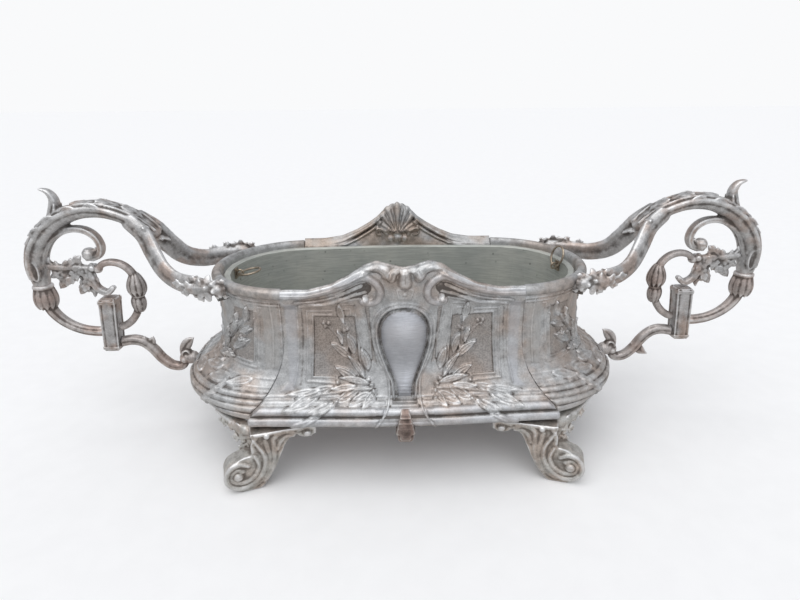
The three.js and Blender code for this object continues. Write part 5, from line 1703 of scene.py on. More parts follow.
@dataclass
class RoundEnd:
    """Round end casting, worked over (angle from the tip, height)."""

    hand: int
    columns: int = 476
    face_rows: int = 160
    leaf_scale: float = 0.93  # millimetres along the wall to a degree of turn
    seam_turn: float = 86.0  # degrees from the tip to a seam

    def outer_rows(self, place: Array) -> Array:
        """Face from the table side up to the rim.

        Args:
            place: Places from seam to seam.

        Returns:
            Points by row and column.
        """
        z = np.linspace(BASE, 113.4, self.face_rows)
        rows = []
        for level in z:
            neck = ease(100, 113, level)
            reach = along(END_REACH, level) + 0.6 * neck
            depth = along(END_DEPTH, level) + 0.6 * neck
            if level < 44:
                reach = np.interp(level, (39.6, 41, 42.6, 44), (59.5, 64.8, 68.2, 70))
            rows.append(end_point(place, reach, depth, along(END_FULLNESS, level),
                np.full(place.shape, level)))
        return np.stack(rows)

    def other_rows(self, place: Array) -> Array:
        """Rolled rim, the ledge for the liner and the inside.

        Args:
            place: Places from seam to seam.

        Returns:
            Points by row and column.
        """
        rows = []
        for degrees in np.linspace(-52, 118, 17):
            a = math.radians(degrees)
            reach = END_RIM_DEPTH + (RIM_RADIUS + 0.2) * math.cos(a)
            rows.append(end_point(place, reach, reach, 2,
                RIM_HEIGHT + RIM_RADIUS * math.sin(a) + 0 * place))
        lip = ((51, 118.4), (LIP_INNER, 117.4), (LIP_INNER, 115.8), (LIP_INNER, LEDGE_TOP), (49, LEDGE_TOP),
            (LEDGE_INNER, LEDGE_TOP), (LEDGE_INNER, 111.6), (50, 110.8))
        rows.extend(end_point(place, reach, reach, 2, z + 0 * place) for reach, z in lip)
        for z in (100, 90, 80, 72, 68, 64, 60, 56, 52.4, 49.6, 46.4):
            rows.append(end_point(place, along(END_REACH, z) - WALL, along(END_DEPTH, z) - WALL,
                along(END_FULLNESS, z), z + 0 * place))
        rows.extend(end_point(place, 43.6, 65.5, 2.5, z + 0 * place) for z in (43.4, BASE))
        return np.stack(rows)

    def relief(self, turn: Array, z: Array) -> Relief:
        """Ornament of the end, on both sides of the tip.

        Args:
            turn: Degrees from the tip.
            z: Height.

        Returns:
            The relief.
        """
        scale = self.leaf_scale
        work = Relief(np.abs(turn) * scale, z)
        at = lambda path: [(a * scale, h) for a, h in path]
        tip_strap = ease(11, 14, np.abs(turn))
        for level, half, height in ((43.6, 2.2, 0.9), (48.4, 1.9, 1.2), (51.9, 1.5, 1.0), (55.4, 1.2, 0.7),
                (59.6, 0.6, 0.35), (63.4, 0.5, 0.28)):
            work.ridge([(0, level), (90, level)], half, height, polish=0.5 if level < 50 else 0.0)
        for level in (46, 50.2, 53.7, 56.9):
            work.groove([(0, level), (90, level)], 0.5, 0.35)
        work.height *= 0.2 + 0.8 * tip_strap
        work.field(at([(48, 104.6), (66, 104.6), (63.5, 71), (36, 71), (36, 78)]), -0.8, 0.8, polish=-0.9)
        for line, half, height in (
            (((72, 107.6), (69.4, 107.4), (68.6, 92), (67, 68.3), (45.5, 68.3), (36, 68.2), (30.7, 69.6)),
                0.6, 0.85),
            (((69, 104.8), (66, 104.6), (65.6, 92), (63.4, 71), (48, 70.8)), 0.5, 0.65),
            (((78, 111), (79, 92), (77.4, 70)), 0.5, 0.4), (((84.5, 111), (84.6, 92), (84, 72)), 0.5, 0.45),
        ):
            work.ridge(at(line), half, height)
        work.field(at([(72, 110), (83, 110), (82, 70), (72, 68)]), 0.2, 0.6, polish=0.5)
        work.ridge(at([(38, 69), (46, 76), (54, 84), (61, 92), (66, 100)]), (0.9, 0.5), 1.1, curved=True)
        for base, tip, half in END_LEAVES:
            work.leaf((base[0] * scale, base[1]), (tip[0] * scale, tip[1]), half, 1.45, 0.5)
        for base, tip, half in END_LOW_LEAVES:
            work.leaf((base[0] * scale, base[1]), (tip[0] * scale, tip[1]), half, 0.95, -0.4, 0.14)
        for a, h in ((51, 85.4), (49.4, 83.6), (52.6, 83.8), (43.4, 81.6), (41.6, 80.4), (36, 69.6),
                (33, 67.6), (34.6, 65)):
            work.bead((a * scale, h), 1.3, 1.25)
        work.ridge(at([(50, 58.6), (47, 54), (44, 50), (41.6, 46)]), (1.6, 2.0), 1.0, curved=True, flat=6)
        for a in (3.2, 6.4, 13.4):
            work.ridge(at([(a, 112), (a, 62), (a * 1.1, 54)]), 0.5, 0.45)
        work.ridge(at([(6, 98), (12, 90), (17, 80), (24, 72)]), (1.0, 0.5), 0.9, curved=True)
        work.leaf((8 * scale, 92), (21 * scale, 101), 2.2, 1.1, 0.5)
        for level in (109.4, 111.6):
            work.ridge([(0, level), (90, level)], 0.6, 0.5)
        work.seasoned(0.035)
        return work

    def build(self) -> bpy.types.Object:
        """Works the relief into the end and closes it behind."""
        place = np.linspace(-1, 1, self.columns)
        face = self.outer_rows(place)
        turn = np.degrees(np.arctan2(face[..., 1], face[..., 0] - END_CENTRE))
        turn = turn / np.abs(turn[-12]).max() * self.seam_turn
        work = self.relief(turn, face[..., 2])
        face = raised(face, work.height, (0, 6), 3, 0.2)
        rest = self.other_rows(place)
        polish = np.concatenate([work.polish, np.full(rest.shape[:2], 0.3)])
        paint = np.concatenate([work.paint, np.zeros(rest.shape[:2])])
        shell = wall_shell(np.concatenate([face, rest]), polish, paint, 0).on_side(self.hand)
        return make_piece(f"{hand_name(self.hand)}_end_panel", shell, END_PLATE)


def hand_name(hand: int) -> str:
    """Side a piece is on."""
    return "right" if hand > 0 else "left"


# ---- feet and pendants


@dataclass
class Foot:
    """Cast scroll foot with acanthus on its leg and a leafy wing under the end."""

    hand: int
    side: int
    half: float = 6.9

    @staticmethod
    def outline() -> list[tuple[float, float]]:
        """Outline of the foot in its own plane."""
        def curve(a: tuple[float, float], b: tuple[float, float],
                c: tuple[float, float]) -> list[tuple[float, float]]:
            return [tuple((1 - t) ** 2 * a[k] + 2 * t * (1 - t) * b[k] + t * t * c[k] for k in (0, 1))
                for t in np.linspace(0, 1, 8, endpoint=False)]
        arc = [(101 + 10.4 * math.cos(a), 11.4 + 10.6 * math.sin(a)) for a in np.linspace(1.35, -1.1, 22)]
        return [
            *curve((93.6, 39), (91.6, 30.6), (94.4, 24.4)), *curve((94.4, 24.4), (99, 24.4), (102.8, 22)),
            *arc,
            *curve((105.4, 1.4), (103, -0.5), (99, -0.5)), (92, -0.5),
            *curve((91.2, -0.5), (86, 3.2), (80.8, 13)), *curve((80.8, 13), (76.4, 22), (74, 28)),
            *curve((74, 28), (71, 33.6), (66.6, 33.8)), *curve((66.6, 33.8), (62, 29.4), (57.6, 31)),
            *curve((57.6, 31), (54, 33), (54.2, 39)), (60, 39), (75, 39), (86, 39),
        ]

    def leg(self) -> list[Shell]:
        """Leg, volute and hanging bud in the plane of the foot."""
        y = FOOT_HUB[1]
        return [
            extruded(self.outline(), self.half - 0.9, y),
            sweep([(57.8, y, 32.2, self.half - 0.6, 2.0), (56.2, y, 35.4, self.half - 0.8, 2.4),
                (60.4, y, 37.2, self.half - 0.8, 2.2)], 0.7, 18),
            ball((59.8, y, 33.6), (4.6, self.half + 0.2, 4.0)),
        ]

    def acanthus(self) -> list[Shell]:
        """Bands that flow down both faces of the leg and coil into the volute."""
        outer = (
            (92, 35, 0.9), (89.4, 30, 1.1), (87, 25, 1.3), (86.2, 19, 1.5), (88.4, 12.2, 1.6),
            (93.2, 6.2, 1.7), (99.8, 3.0, 1.7), (105.6, 3.8, 1.7), (109.4, 8, 1.7), (109.8, 13.2, 1.6),
            (106.6, 18.2, 1.6), (101, 20, 1.5), (96.6, 18, 1.2),
        )
        coil = (
            (92.4, 24, 0.8), (90.4, 17.6, 1.1), (92.4, 11.4, 1.3), (96.8, 7.8, 1.4), (102, 6.8, 1.4),
            (106.2, 9.2, 1.4), (106.8, 13.4, 1.3), (103.6, 16.2, 1.2), (99.8, 14.6, 1.0),
        )
        others = (
            ((85.4, 34, 0.8), (84.2, 27, 1.1), (83.6, 19.6, 1.2), (86, 11.6, 1.2), (90.4, 5.8, 1.1),
             (95.4, 2.6, 0.9)),
            ((80.6, 33.4, 0.8), (80.6, 26.6, 1.1), (81.2, 19, 1.1), (84, 11.2, 1.0), (88.4, 5.2, 0.9)),
            ((90.4, 36.6, 0.8), (92.8, 32, 1.0), (93, 27, 0.9)),
            ((81, 33, 0.9), (77.6, 36.4, 1.2), (72.4, 37.4, 1.2), (67.8, 34.8, 0.9)),
            ((78.4, 26, 0.8), (76.2, 31, 0.9), (72.4, 33.8, 0.9), (68, 33.4, 0.7)),
            ((58, 38, 0.7), (68, 37.9, 0.9), (80, 38, 0.9), (91, 37.6, 0.7)),
            ((66, 36.6, 0.8), (61, 37.6, 1.0), (56.4, 36.2, 1.0), (55.6, 33, 0.8)),
        )
        shells = []
        for side in (-1, 1):
            y = FOOT_HUB[1] + side * (self.half - 0.9)
            shells.append(self.band(outer, y, side, 1.15))
            shells.append(self.band(coil, y, side, 0.8))
            shells.extend(self.band([(x, z, w * 1.25) for x, z, w in path], y, side, 0.65)
                for path in others)
            shells.append(ball((102.9, y + side * 0.5, 11.8), (2.9, 1.9, 2.9)))
            shells.append(ball((84.2, y + side * 0.4, 36.6), (1.9, 1.7, 1.9)))
            shells.append(ball((60.2, y + side * 1.2, 34), (2.4, 1.4, 2.2)))
        return shells

    @staticmethod
    def band(path: Path, y: float, side: int, proud: float) -> Shell:
        """Rounded band on a face of the leg, through (x, z, half width) places."""
        rows = [(x, y + side * 0.1, z, proud, w) for x, z, w in path]
        return sweep(rows, 0.7, 16, (0, 1, 0))

    def wing(self) -> list[Shell]:
        """Two-lobed leaf under the round end."""
        stations = (
            (90, -71, 24, 5), (97.4, -67, 29.6, 4.6), (104.6, -61.4, 33.4, 4.2), (111.4, -55.2, 36, 3.8),
            (118, -49, 37.4, 3),
        )
        rows = [(x, y, (bottom + 39) / 2, half, (39 - bottom) / 2 + 0.2) for x, y, bottom, half in stations]
        shells = [sweep(rows, 0.8, 24, (0.62, -0.78, 0), square=3.0)]
        for start, end, wide in (((92, -74.4, 34), (107, -65, 27.6), 4.2),
                ((99, -69.6, 36), (117.6, -53.4, 33.4), 4.0), ((95, -72, 28), (102.6, -68, 21.6), 3.0)):
            shells.extend(acanthus(start, end, wide, 1.3, 3, (0.25, 0.25, 1), 1.0))
        return shells

    def build(self) -> bpy.types.Object:
        """Melts the foot together, turns it out and sets it at its corner."""
        hub = Matrix.Translation((FOOT_HUB[0], FOOT_HUB[1], 0))
        turn = hub @ Matrix.Rotation(-FOOT_TURN, 4, "Z") @ hub.inverted()
        shells = [shell.placed(turn) for shell in [*self.leg(), *self.acanthus()]]
        shells.append(turned([(0, 30.4), (5.6, 30.6), (6.8, 32), (6.9, 38), (6.6, 39.2), (0, 39.3)],
            (78, -62.5, 0), 36))
        shells.extend(self.wing())
        shell = fused(shells, 0.5, 3)
        shell.points[:, 2] = np.clip(shell.points[:, 2], SOLE_HEIGHT, FOOT_TOP)
        shell = shell.turned_over(self.hand, -self.side)
        name = f"foot_{'front' if self.side > 0 else 'back'}_{hand_name(self.hand)}"
        return cast_piece(name, shell, FOOT_PLATE)


@dataclass
class Pendant:
    """Stepped drop under the middle of a bar, with a ribbed tongue over it."""

    side: int
    face: float = BAR_DEPTH + BOW + 4.2

    def build(self) -> bpy.types.Object:
        """Melts the drop, its tongue and its ribs together."""
        y = -self.face
        drop = (
            (-5.3, 39.2), (-5.8, 38.4), (-4.8, 36.9), (-4.6, 34.6), (-3.9, 33.2), (-2.6, 32.8),
            (2.6, 32.8), (3.9, 33.2), (4.6, 34.6), (4.8, 36.9), (5.8, 38.4), (5.3, 39.2),
        )
        inner = ((-3.1, 38.2), (-3.4, 35.2), (-2.2, 34), (2.2, 34), (3.4, 35.2), (3.1, 38.2))
        shells = [
            extruded(drop, 4.3, y + 3.4),
            extruded(inner, 0.6, y - 1.2),
            sweep([(0, y + 0.2, 38.6, 5.7, 1.9), (0, y + 0.2, 41, 5.2, 1.9), (0, y + 0.5, 43.6, 4.6, 1.8),
                (0, y + 1.4, 47, 3.7, 1.6), (0, y + 2.4, 49.8, 3.0, 1.4),
                   (0, y + 4.4, 51.6, 2.4, 1.1)], 0.6, 40, (1, 0, 0), 7),
            sweep([(0, y + 9, 37.1, 4.4, 2.1), (0, y + 22, 37.1, 4.4, 2.1)], 1.0, 20, (1, 0, 0), 6),
        ]
        for z, half, out, thick in ((38.9, 4.9, -1.1, 0.6), (42.2, 4.2, -1.0, 0.45),
                (45.4, 3.5, -0.5, 0.45), (48.4, 2.8, 0.4, 0.45)):
            shells.append(sweep([(x * half, y + out, z, 0.7, thick) for x in (-1, 0, 1)], 0.6, 12,
                (0, 1, 0)))
        shell = fused(shells, 0.38, 1)
        shell.points[:, 2] = np.where(shell.points[:, 1] > y + 8.2,
            np.minimum(shell.points[:, 2], FOOT_TOP - 0.05), shell.points[:, 2])
        shell.points[:, 1] = np.where(shell.points[:, 2] > FOOT_TOP,
            np.minimum(shell.points[:, 1], y + 3.9), shell.points[:, 1])
        name = "front_pendant" if self.side > 0 else "back_pendant"
        shell = shell.turned_over(self.side, self.side)
        return cast_piece(name, shell, DARK_CAST)


# ---- handles


ARM = (
    (160, 0, 141, 8.6, 4.6), (167.5, 0, 147.8, 9.6, 5), (176, 0, 152.4, 10, 5.2),
    (186, 0, 155.8, 10, 5.4), (196, 0, 156.8, 10, 5.6), (206, 0, 155.4, 9.8, 5.6),
    (216, 0, 151.4, 9.4, 5.6), (225, 0, 145.4, 9, 6), (232, 0, 138, 8.6, 6.4), (237.4, 0, 129, 8.2, 6.6),
    (240, 0, 118, 7.4, 6.6), (239.8, 0, 109.4, 6.6, 6.2),
)
PRONG = (
    (172, 6, 150, 4, 6), (163.5, 8.5, 142.2, 4, 6.6), (157.4, 13.5, 132, 3.6, 7),
    (150, 20, 122.4, 3.4, 6.8), (140, 27.5, 117.6, 3.4, 6.4), (129, 34.5, 117, 3.6, 6.2),
    (119.4, 39.4, 117.2, 4, 5.8),
)
BACK_SAG = 2.2
HORN = (
    (222, 0, 149, 5, 5), (219.6, 0, 158, 4.4, 3.6), (218.8, 0, 164, 4, 2.6), (221.4, 0, 168.6, 3.6, 1.6),
    (225.8, 0, 170.2, 2.6, 0.8),
)
CURL = (
    (235.4, 0, 122, 4, 3.2), (232.4, 0, 130, 4.2, 3), (227, 0, 137.4, 4.2, 2.8),
    (219.4, 0, 142.4, 4.2, 2.6), (210.6, 0, 144.6, 4, 2.5), (202.6, 0, 143, 4, 2.5),
    (197.4, 0, 138.2, 3.8, 2.5), (195.8, 0, 131.6, 3.8, 2.4), (198, 0, 126.8, 3.6, 2.3),
    (202.6, 0, 124.6, 3.4, 2.2),
)


class PetalRing:
    """Geometry node tree that sets petals round an axis with a seeded unevenness."""

    tree: bpy.types.NodeTree | None = None

    @classmethod
    def made(cls) -> bpy.types.NodeTree:
        """The tree, built once."""
        if cls.tree:
            return cls.tree
        tree = bpy.data.node_groups.new("petal_ring", "GeometryNodeTree")
        face = tree.interface
        face.new_socket("Geometry", in_out="INPUT", socket_type="NodeSocketGeometry")
        for label, kind, value in (("Count", "NodeSocketInt", 6), ("Length", "NodeSocketFloat", 0.006),
                ("Width", "NodeSocketFloat", 0.002),
                                   ("Lift", "NodeSocketFloat", 0.35), ("Seed", "NodeSocketInt", 3)):
            face.new_socket(label, in_out="INPUT", socket_type=kind).default_value = value
        face.new_socket("Material", in_out="INPUT", socket_type="NodeSocketMaterial")
        face.new_socket("Geometry", in_out="OUTPUT", socket_type="NodeSocketGeometry")
        graph = Graph(tree)
        given = graph.add("NodeGroupInput").outputs
        circle = graph.add("GeometryNodeMeshCircle",
            {"Vertices": given["Count"], "Radius": graph.times(given["Length"], 0.52)})
        uneven = graph.add("FunctionNodeRandomValue", {2: 0.86, 3: 1.14, "Seed": given["Seed"]},
            data_type="FLOAT").outputs[1]
        size = graph.add("ShaderNodeCombineXYZ", {0: graph.times(graph.times(given["Length"], 0.5), uneven),
                                                  1: given["Width"], 2: graph.times(given["Width"],
                                                      0.42)}).outputs[0]
        petal = graph.add("GeometryNodeMeshUVSphere",
            {"Segments": 18, "Rings": 10, "Radius": 1.0}).outputs[0]
        place = graph.add("GeometryNodeInputPosition").outputs[0]
        outward = graph.add("FunctionNodeAlignRotationToVector", {"Vector": place}, axis="X").outputs[0]
        tilt = graph.add("FunctionNodeRotateRotation", {0: outward}, rotation_space="LOCAL")
        lean = graph.add("ShaderNodeCombineXYZ", {0: 0.0, 1: graph.times(given["Lift"], -1.0),
            2: 0.0}).outputs[0]
        graph.feed(graph.add("FunctionNodeEulerToRotation", {0: lean}).outputs[0], tilt.inputs[1])
        ring = graph.add("GeometryNodeInstanceOnPoints", {"Points": circle.outputs[0], "Instance": petal,
            "Rotation": tilt.outputs[0], "Scale": size})
        real = graph.add("GeometryNodeRealizeInstances", {0: ring.outputs[0]})
        dressed = graph.add("GeometryNodeSetMaterial",
            {"Geometry": real.outputs[0], "Material": given["Material"]})
        graph.add("NodeGroupOutput", {0: dressed.outputs[0]})
        cls.tree = tree
        return tree

    @classmethod
    def shell(cls, centre: Point, axis: Point, count: int, length: float, width: float, lift: float,
            seed: int) -> Shell:
        """Petals round an axis, in millimetres, ready to be melted into a casting.

        Args:
            centre: Middle of the ring.
            axis: Its axis.
            count: Number of petals.
            length: Length of a petal.
            width: Its half width.
            lift: How far it leans out of the ring, in radians.
            seed: Seed of its unevenness.

        Returns:
            The petals as one shell.
        """
        mesh = bpy.data.meshes.new("petals")
        source = bpy.data.objects.new("petals", mesh)
        bpy.context.scene.collection.objects.link(source)
        modifier = source.modifiers.new("petals", "NODES")
        modifier.node_group = cls.made()
        values = {"Count": count, "Length": length * MM, "Width": width * MM, "Lift": lift, "Seed": seed,
            "Material": ARM_PLATE.material()}
        for item in cls.tree.interface.items_tree:
            if item.in_out == "INPUT" and item.name in values:
                modifier[item.identifier] = values[item.name]
        result = evaluated(source)
        shell = shell_of(result)
        bpy.data.objects.remove(source)
        bpy.data.meshes.remove(mesh)
        bpy.data.meshes.remove(result)
        turn = Vector((0, 0, 1)).rotation_difference(Vector(axis)).to_matrix().to_4x4()
        return shell.placed(Matrix.Translation(Vector(centre)) @ turn)


@dataclass
class Handle:
    """One scrolled handle: arm with two prongs, scrolls, leaves, socket and lower bracket."""

    hand: int

    def cast(self, part: str, shell: Shell, finish: CastFinish) -> bpy.types.Object:
        """Sets a melted casting on its side and dresses it."""
        return cast_piece(f"{hand_name(self.hand)}_{part}", shell.on_side(self.hand), finish)

    def strap(self) -> list[Shell]:
        """Arched strap with beaded edges, a hollow middle and leafy lumps on its crown."""
        rows = np.asarray(ARM)
        shells = [sweep([(x, y, z, w - 1.2, h - 1.0) for x, y, z, w, h in rows], 0.9, 30, square=2.6)]
        run, forward = spline(ARM, 2.0)
        up = np.cross(forward, np.array([0.0, 1.0, 0.0]))
        for side in (-1, 1):
            edge = [(*(p[:3] + u * p[4] * 0.35 + np.array([0, side * (p[3] - 1.7), 0])), 1.75, 1.75) for p,
                u in zip(run[::3], up[::3])]
            shells.append(sweep(edge, 0.8, 14))
            inner = [(*(p[:3] + u * (p[4] - 0.9) + np.array([0, side * (p[3] - 4.6), 0])), 0.9, 0.9) for p,
                u in zip(run[::3], up[::3])]
            shells.append(sweep(inner, 0.8, 12))
        for share, long, wide in ((0.12, 12, 5.6), (0.24, 13, 6.0), (0.36, 12, 5.8), (0.48, 12, 5.4),
                (0.60, 12, 5.2), (0.73, 11, 4.8)):
            i = int(share * (len(run) - 1))
            j = min(i + int(long / 2.0), len(run) - 1)
            base = run[i, :3] + up[i] * (run[i, 4] - 1.4)
            tip = run[j, :3] + up[j] * (run[j, 4] - 0.2)
            shells.extend(acanthus(base, tip, wide, 1.3, 3, (0, 1, 0), 0.9))
        for side in (-1, 1):
            for share in (0.3, 0.42, 0.54, 0.66):
                i = int(share * (len(run) - 1))
                face = np.array([0, side * (run[i, 3] - 1.5), 0])
                base = run[i, :3] + face + up[i] * run[i, 4] * 0.3
                tip = run[min(i + 5, len(run) - 1), :3] + face + up[i] * run[i, 4] * 0.95
                shells.append(leaf(base, tip, 2.2, 1.1, bend=0.6))
            loop = [(238.7 + 2.3 * math.cos(a), side * 5.7, 117.6 + 6.4 * math.sin(a), 1.3, 0.75)
                for a in np.linspace(0, 2 * math.pi, 17)]
            shells.append(sweep(loop, 0.6, 12))
        return shells

    def prong(self, hand: int) -> list[Shell]:
        """Branch from the fork to the rim, with a bead along its edges; the blossom at its end comes from
        `blossom`.

        Args:
            hand: 1 for the back branch, -1 for the front one.

        Returns:
            Its parts.
        """
        sag = BACK_SAG if hand > 0 else 0.0
        rows = [(x, hand * y, z - sag * float(ease(1, 3, i)), w, h - 0.8) for i,
            (x, y, z, w, h) in enumerate(PRONG)]
        across = (0.45, hand * 0.9, 0)
        shells = [sweep(rows, 0.8, 30, across, 3.0, grooved(0.2, 0.6, (0.0, math.pi)))]
        run, forward = spline(rows, 2.0)
        side = unit(np.asarray(across) - forward * (forward @ np.asarray(across))[:, None])
        up = np.cross(forward, side)
        if up[:, 2].mean() < 0:
            up = -up
        for sign in (-1, 1):
            line = [(*(p[:3] + u * sign * (p[4] - 0.7)), 1.7, 1.4) for p, u in zip(run[::3], up[::3])]
            shells.append(sweep(line, 0.8, 12))
        for at in (1, 5, 9) if hand > 0 else (1,):
            base, tip = run[at, :3] + up[at] * run[at, 4] * 0.4, run[at + 6,
                :3] + up[at + 6] * (run[at + 6, 4] + 0.6)
            shells.extend(acanthus(base, tip, 3.4, 1.3, 2, across, 0.8))
        return shells

    def blossom(self, hand: int) -> list[Shell]:
        """Open blossom with petals at the end of a prong.

        Args:
            hand: 1 for the back branch, -1 for the front one.

        Returns:
            Its parts.
        """
        y = hand * 41.0
        shells = [ball((118.6, y, 116.6), (10.2, 4.6, 5.0)),
            ball((110.6, hand * 43.2, 116.4), (3.6, 3.2, 3.6)),
            ball((106.8, y - hand, 116.8), (3.2, 3.4, 3.6))]
        way = (0.1, hand * 0.9, 0.42)
        shells.append(PetalRing.shell((117.0, y + hand * 2.4, 117.8), way, 7, 8.6, 2.3, -0.25, 5))
        shells.append(PetalRing.shell((109, y + hand * 1.6, 117.6), (-0.6, hand * 0.6, 0.5), 6, 6.4, 1.9,
            -0.2, 11))
        shells.append(PetalRing.shell((125.6, y - hand * 1.6, 118.8), (0.5, hand * 0.6, 0.6), 6, 6.4, 1.8,
            -0.2, 13))
        for x, z in ((117, 118.6), (109.2, 118.4), (125.6, 119.6)):
            shells.append(ball((x, y + hand * (4.2 - 0.28 * abs(x - 117)), z), (1.3, 1.2, 1.3), 12))
        for x, z, tip_x, tip_z, wide in ((122, 115, 134, 113.0, 3.6), (126, 118.6, 138.6, 119.6, 3.8),
                (112, 114, 104.6, 111.6, 3.0), (117, 113.6, 121.6, 109.6, 2.8),
                                         (120, 120, 128, 123.4, 2.8), (113, 119.6, 106, 121.6, 2.4)):
            inward = hand * (1.0 if x < 120 else -3.4)
            shells.extend(acanthus((x, y + hand * 2.2, z), (tip_x, y + inward, tip_z), wide, 1.2, 2,
                lift=hand * 0.8))
        return shells

    def arm(self) -> bpy.types.Object:
        """Whole arm casting."""
        shells = self.strap()
        for hand in (-1, 1):
            shells.extend(self.prong(hand))
            shells.extend(self.blossom(hand))
            shells.extend(acanthus((166, hand * 2.5, 147), (154, hand * 9.5, 133.6), 4.6, 1.7, 3,
                (0.2, 1, 0.2), 1.6))
            shells.extend(acanthus((171, hand * 4, 150.6), (159, hand * 12.4, 141.4), 4.0, 1.5, 3,
                (0.2, 1, 0.3), 1.2))
        shells.extend(acanthus((169, 0, 149.8), (155.6, 0, 136.6), 5.0, 1.8, 3, (0, 1, 0), 2.0))
        shells.append(sweep(HORN, 0.7, 20, rib=grooved(0.18, 0.35, (0.0, math.pi))))
        for side in (-1, 1):
            shells.append(leaf((222, side * 2.4, 151), (217.2, side * 4.2, 160.4), 2.4, 1.3, (0, 1, 0),
                0.8))
        curl = [(x, y, z, w, h * 0.9) for x, y, z, w, h in CURL]
        shells.append(sweep(curl, 0.7, 24, square=2.6, rib=grooved(0.24, 0.3, (0.0, math.pi, math.pi / 2))))
        shells.append(ball((204.4, 0, 127.4), (4.7, 4.9, 4.7)))
        shells.append(leaf((206, 0, 124), (199.4, 0, 131.6), 2.6, 3.4, bend=0.8))
        shell = fused(shells, 0.62)
        self.clear_rim(shell.points)
        return self.cast("handle_arm", shell, ARM_PLATE)

    @staticmethod
    def clear_rim(points: Array) -> None:
        """Keeps the blossoms just outside the bowl's rim.

        Args:
            points: Points of the arm, moved in place.
        """
        off = points[:, :2] - np.array([END_CENTRE, 0.0])
        reach = np.linalg.norm(off, axis=1)
        least = np.where(points[:, 2] > RIM_BOTTOM, RIM_CLEARANCE, WALL_CLEARANCE)
        near = (points[:, 2] < 121.2) & (points[:, 2] > 95) & (reach < least) & (reach > 40)
        scale = np.where(near, least / np.maximum(reach, 1), 1.0)
        points[:, :2] = np.array([END_CENTRE, 0.0]) + off * scale[:, None]

    def outer_scroll(self) -> bpy.types.Object:
        """Fluted bud under a collar and the tube that sweeps back inwards."""
        x, z = COLLAR
        shells = [
            turned([(5.0, 0), (6.3, -0.9), (6.3, -2.5), (5.4, -3.4), (5.4, -3.6)], (x, 0, z), 44),
            sweep([(239.2, 0, 94, 4.2, 4.2), (237.4, 0, 87.6, 4, 4), (233, 0, 81.4, 3.8, 3.8),
                (227, 0, 76.6, 3.6, 3.6), (219.4, 0, 73.2, 3.5, 3.5),
                   (211.6, 0, 71.8, 3.5, 3.5), (207.6, 0, 71.6, 3.5, 3.5)], 0.7, 24,
                   rib=grooved(0.16, 0.3, (0.6, 2.54, 3.74, 5.68))),
        ]
        shells.extend(bud([(5.6, -3.2), (6.2, -5), (6.9, -8), (7.0, -11), (6.2, -14.4), (4.6, -17)],
            (x, 0, z), 11, 1.0))
        shell = fused(shells, 0.5)
        shell.points[:, 2] = np.minimum(shell.points[:, 2], z - 0.05)
        shell.points[:, 0] = np.maximum(shell.points[:, 0], 205.6)
        return self.cast("outer_scroll", shell, BROWN_CAST)

    def inner_scroll(self) -> bpy.types.Object:
        """C scroll inside the handle with two buds on its back."""
        lower = (
            (193.2, 0, 75, 3, 2.8), (190.4, 0, 76, 3, 2.8), (186, 0, 79, 3, 2.8),
            (181.6, 0, 84.4, 2.8, 2.6), (179, 0, 90, 2.8, 2.6),
        )
        upper = (
            (178.2, 0, 108, 3, 3), (179.4, 0, 114, 3, 2.7), (184.2, 0, 119.4, 3, 2.6),
            (191, 0, 121.6, 3, 2.5), (197.4, 0, 120.4, 2.8, 2.4), (200.8, 0, 117.4, 2.6, 2.2),
        )
        ribs = grooved(0.14, 0.3, (math.pi / 2, 1.5 * math.pi))
        shells = [
            sweep(lower, 0.6, 20, rib=ribs), sweep(upper, 0.6, 20, rib=ribs),
            turned([(2.4, -1), (4.0, -0.4), (4.2, 0.6), (2.4, 1.2)], (178.2, 0, 97.4), 36),
            ball((201, 0, 117), (2.9, 3.3, 2.9)),
        ]
        shells.extend(bud([(2.4, 0), (3.6, 2), (4.3, 5), (4.1, 8), (2.9, 10.4), (2.2, 11)],
            (178.6, 0, 86.6), 8, 0.95))
        shells.extend(bud([(2.0, 16.4), (3.0, 15.4), (4.5, 12.6), (5.7, 8.6), (5.4, 4.6), (3.2, 0.8)],
            (178, 0, 97), 10, 0.98))
        return self.cast("inner_scroll", fused(shells, 0.45), BROWN_CAST)

    def leaf_spray(self) -> bpy.types.Object:
        """Leaves that spill from the outer scroll over the socket."""
        shells = [
            sweep([(232, 0, 119.4, 2.6, 2.4), (222, 0, 118.4, 2.6, 2.3), (212, 0, 118.2, 2.6, 2.2),
                (204.4, 0, 117.2, 2.6, 2.4)], 0.7, 18),
            sweep([(207, 0, 117, 3, 3), (205.4, 0, 108, 3.4, 2.8), (203.6, 0, 103.6, 3.4, 2.6),
                (198, 0, 100.4, 3.4, 2.4), (193.6, 0, 103.6, 2.8, 1.8)], 0.7, 20,
                  rib=grooved(0.2, 0.3, (0.0, math.pi, math.pi / 2))),
        ]
        for base, tip, wide, pairs, bend in (((212, 119.6), (228.4, 104), 6.2, 4, 1.4),
                ((206, 117), (216, 99.6), 5.8, 4, -1.0), ((222, 118), (210.6, 126), 4.4, 3, 0.6),
                                             ((218, 119), (233, 111.6), 4.4, 3, 0.4),
                                             ((227, 119), (234, 125), 3.2, 2, 0.0),
                                             ((204.4, 112), (207, 97.4), 3.4, 3, 0.0)):
            shells.extend(acanthus((base[0], 0, base[1]), (tip[0], 0, tip[1]), wide, 1.9, pairs, bend=bend))
        for side in (-1, 1):
            shells.extend(acanthus((211, side * 1.8, 118.8), (222, side * 3.8, 107.4), 4.4, 1.1, 3,
                lift=0.6 * side))
            shells.extend(acanthus((206, side * 1.8, 114), (211.4, side * 3.6, 102.4), 4.0, 1.1, 3,
                lift=0.6 * side))
            shells.append(ball((203.6, side * 2.6, 118.2), (2.2, 1.8, 2.2)))
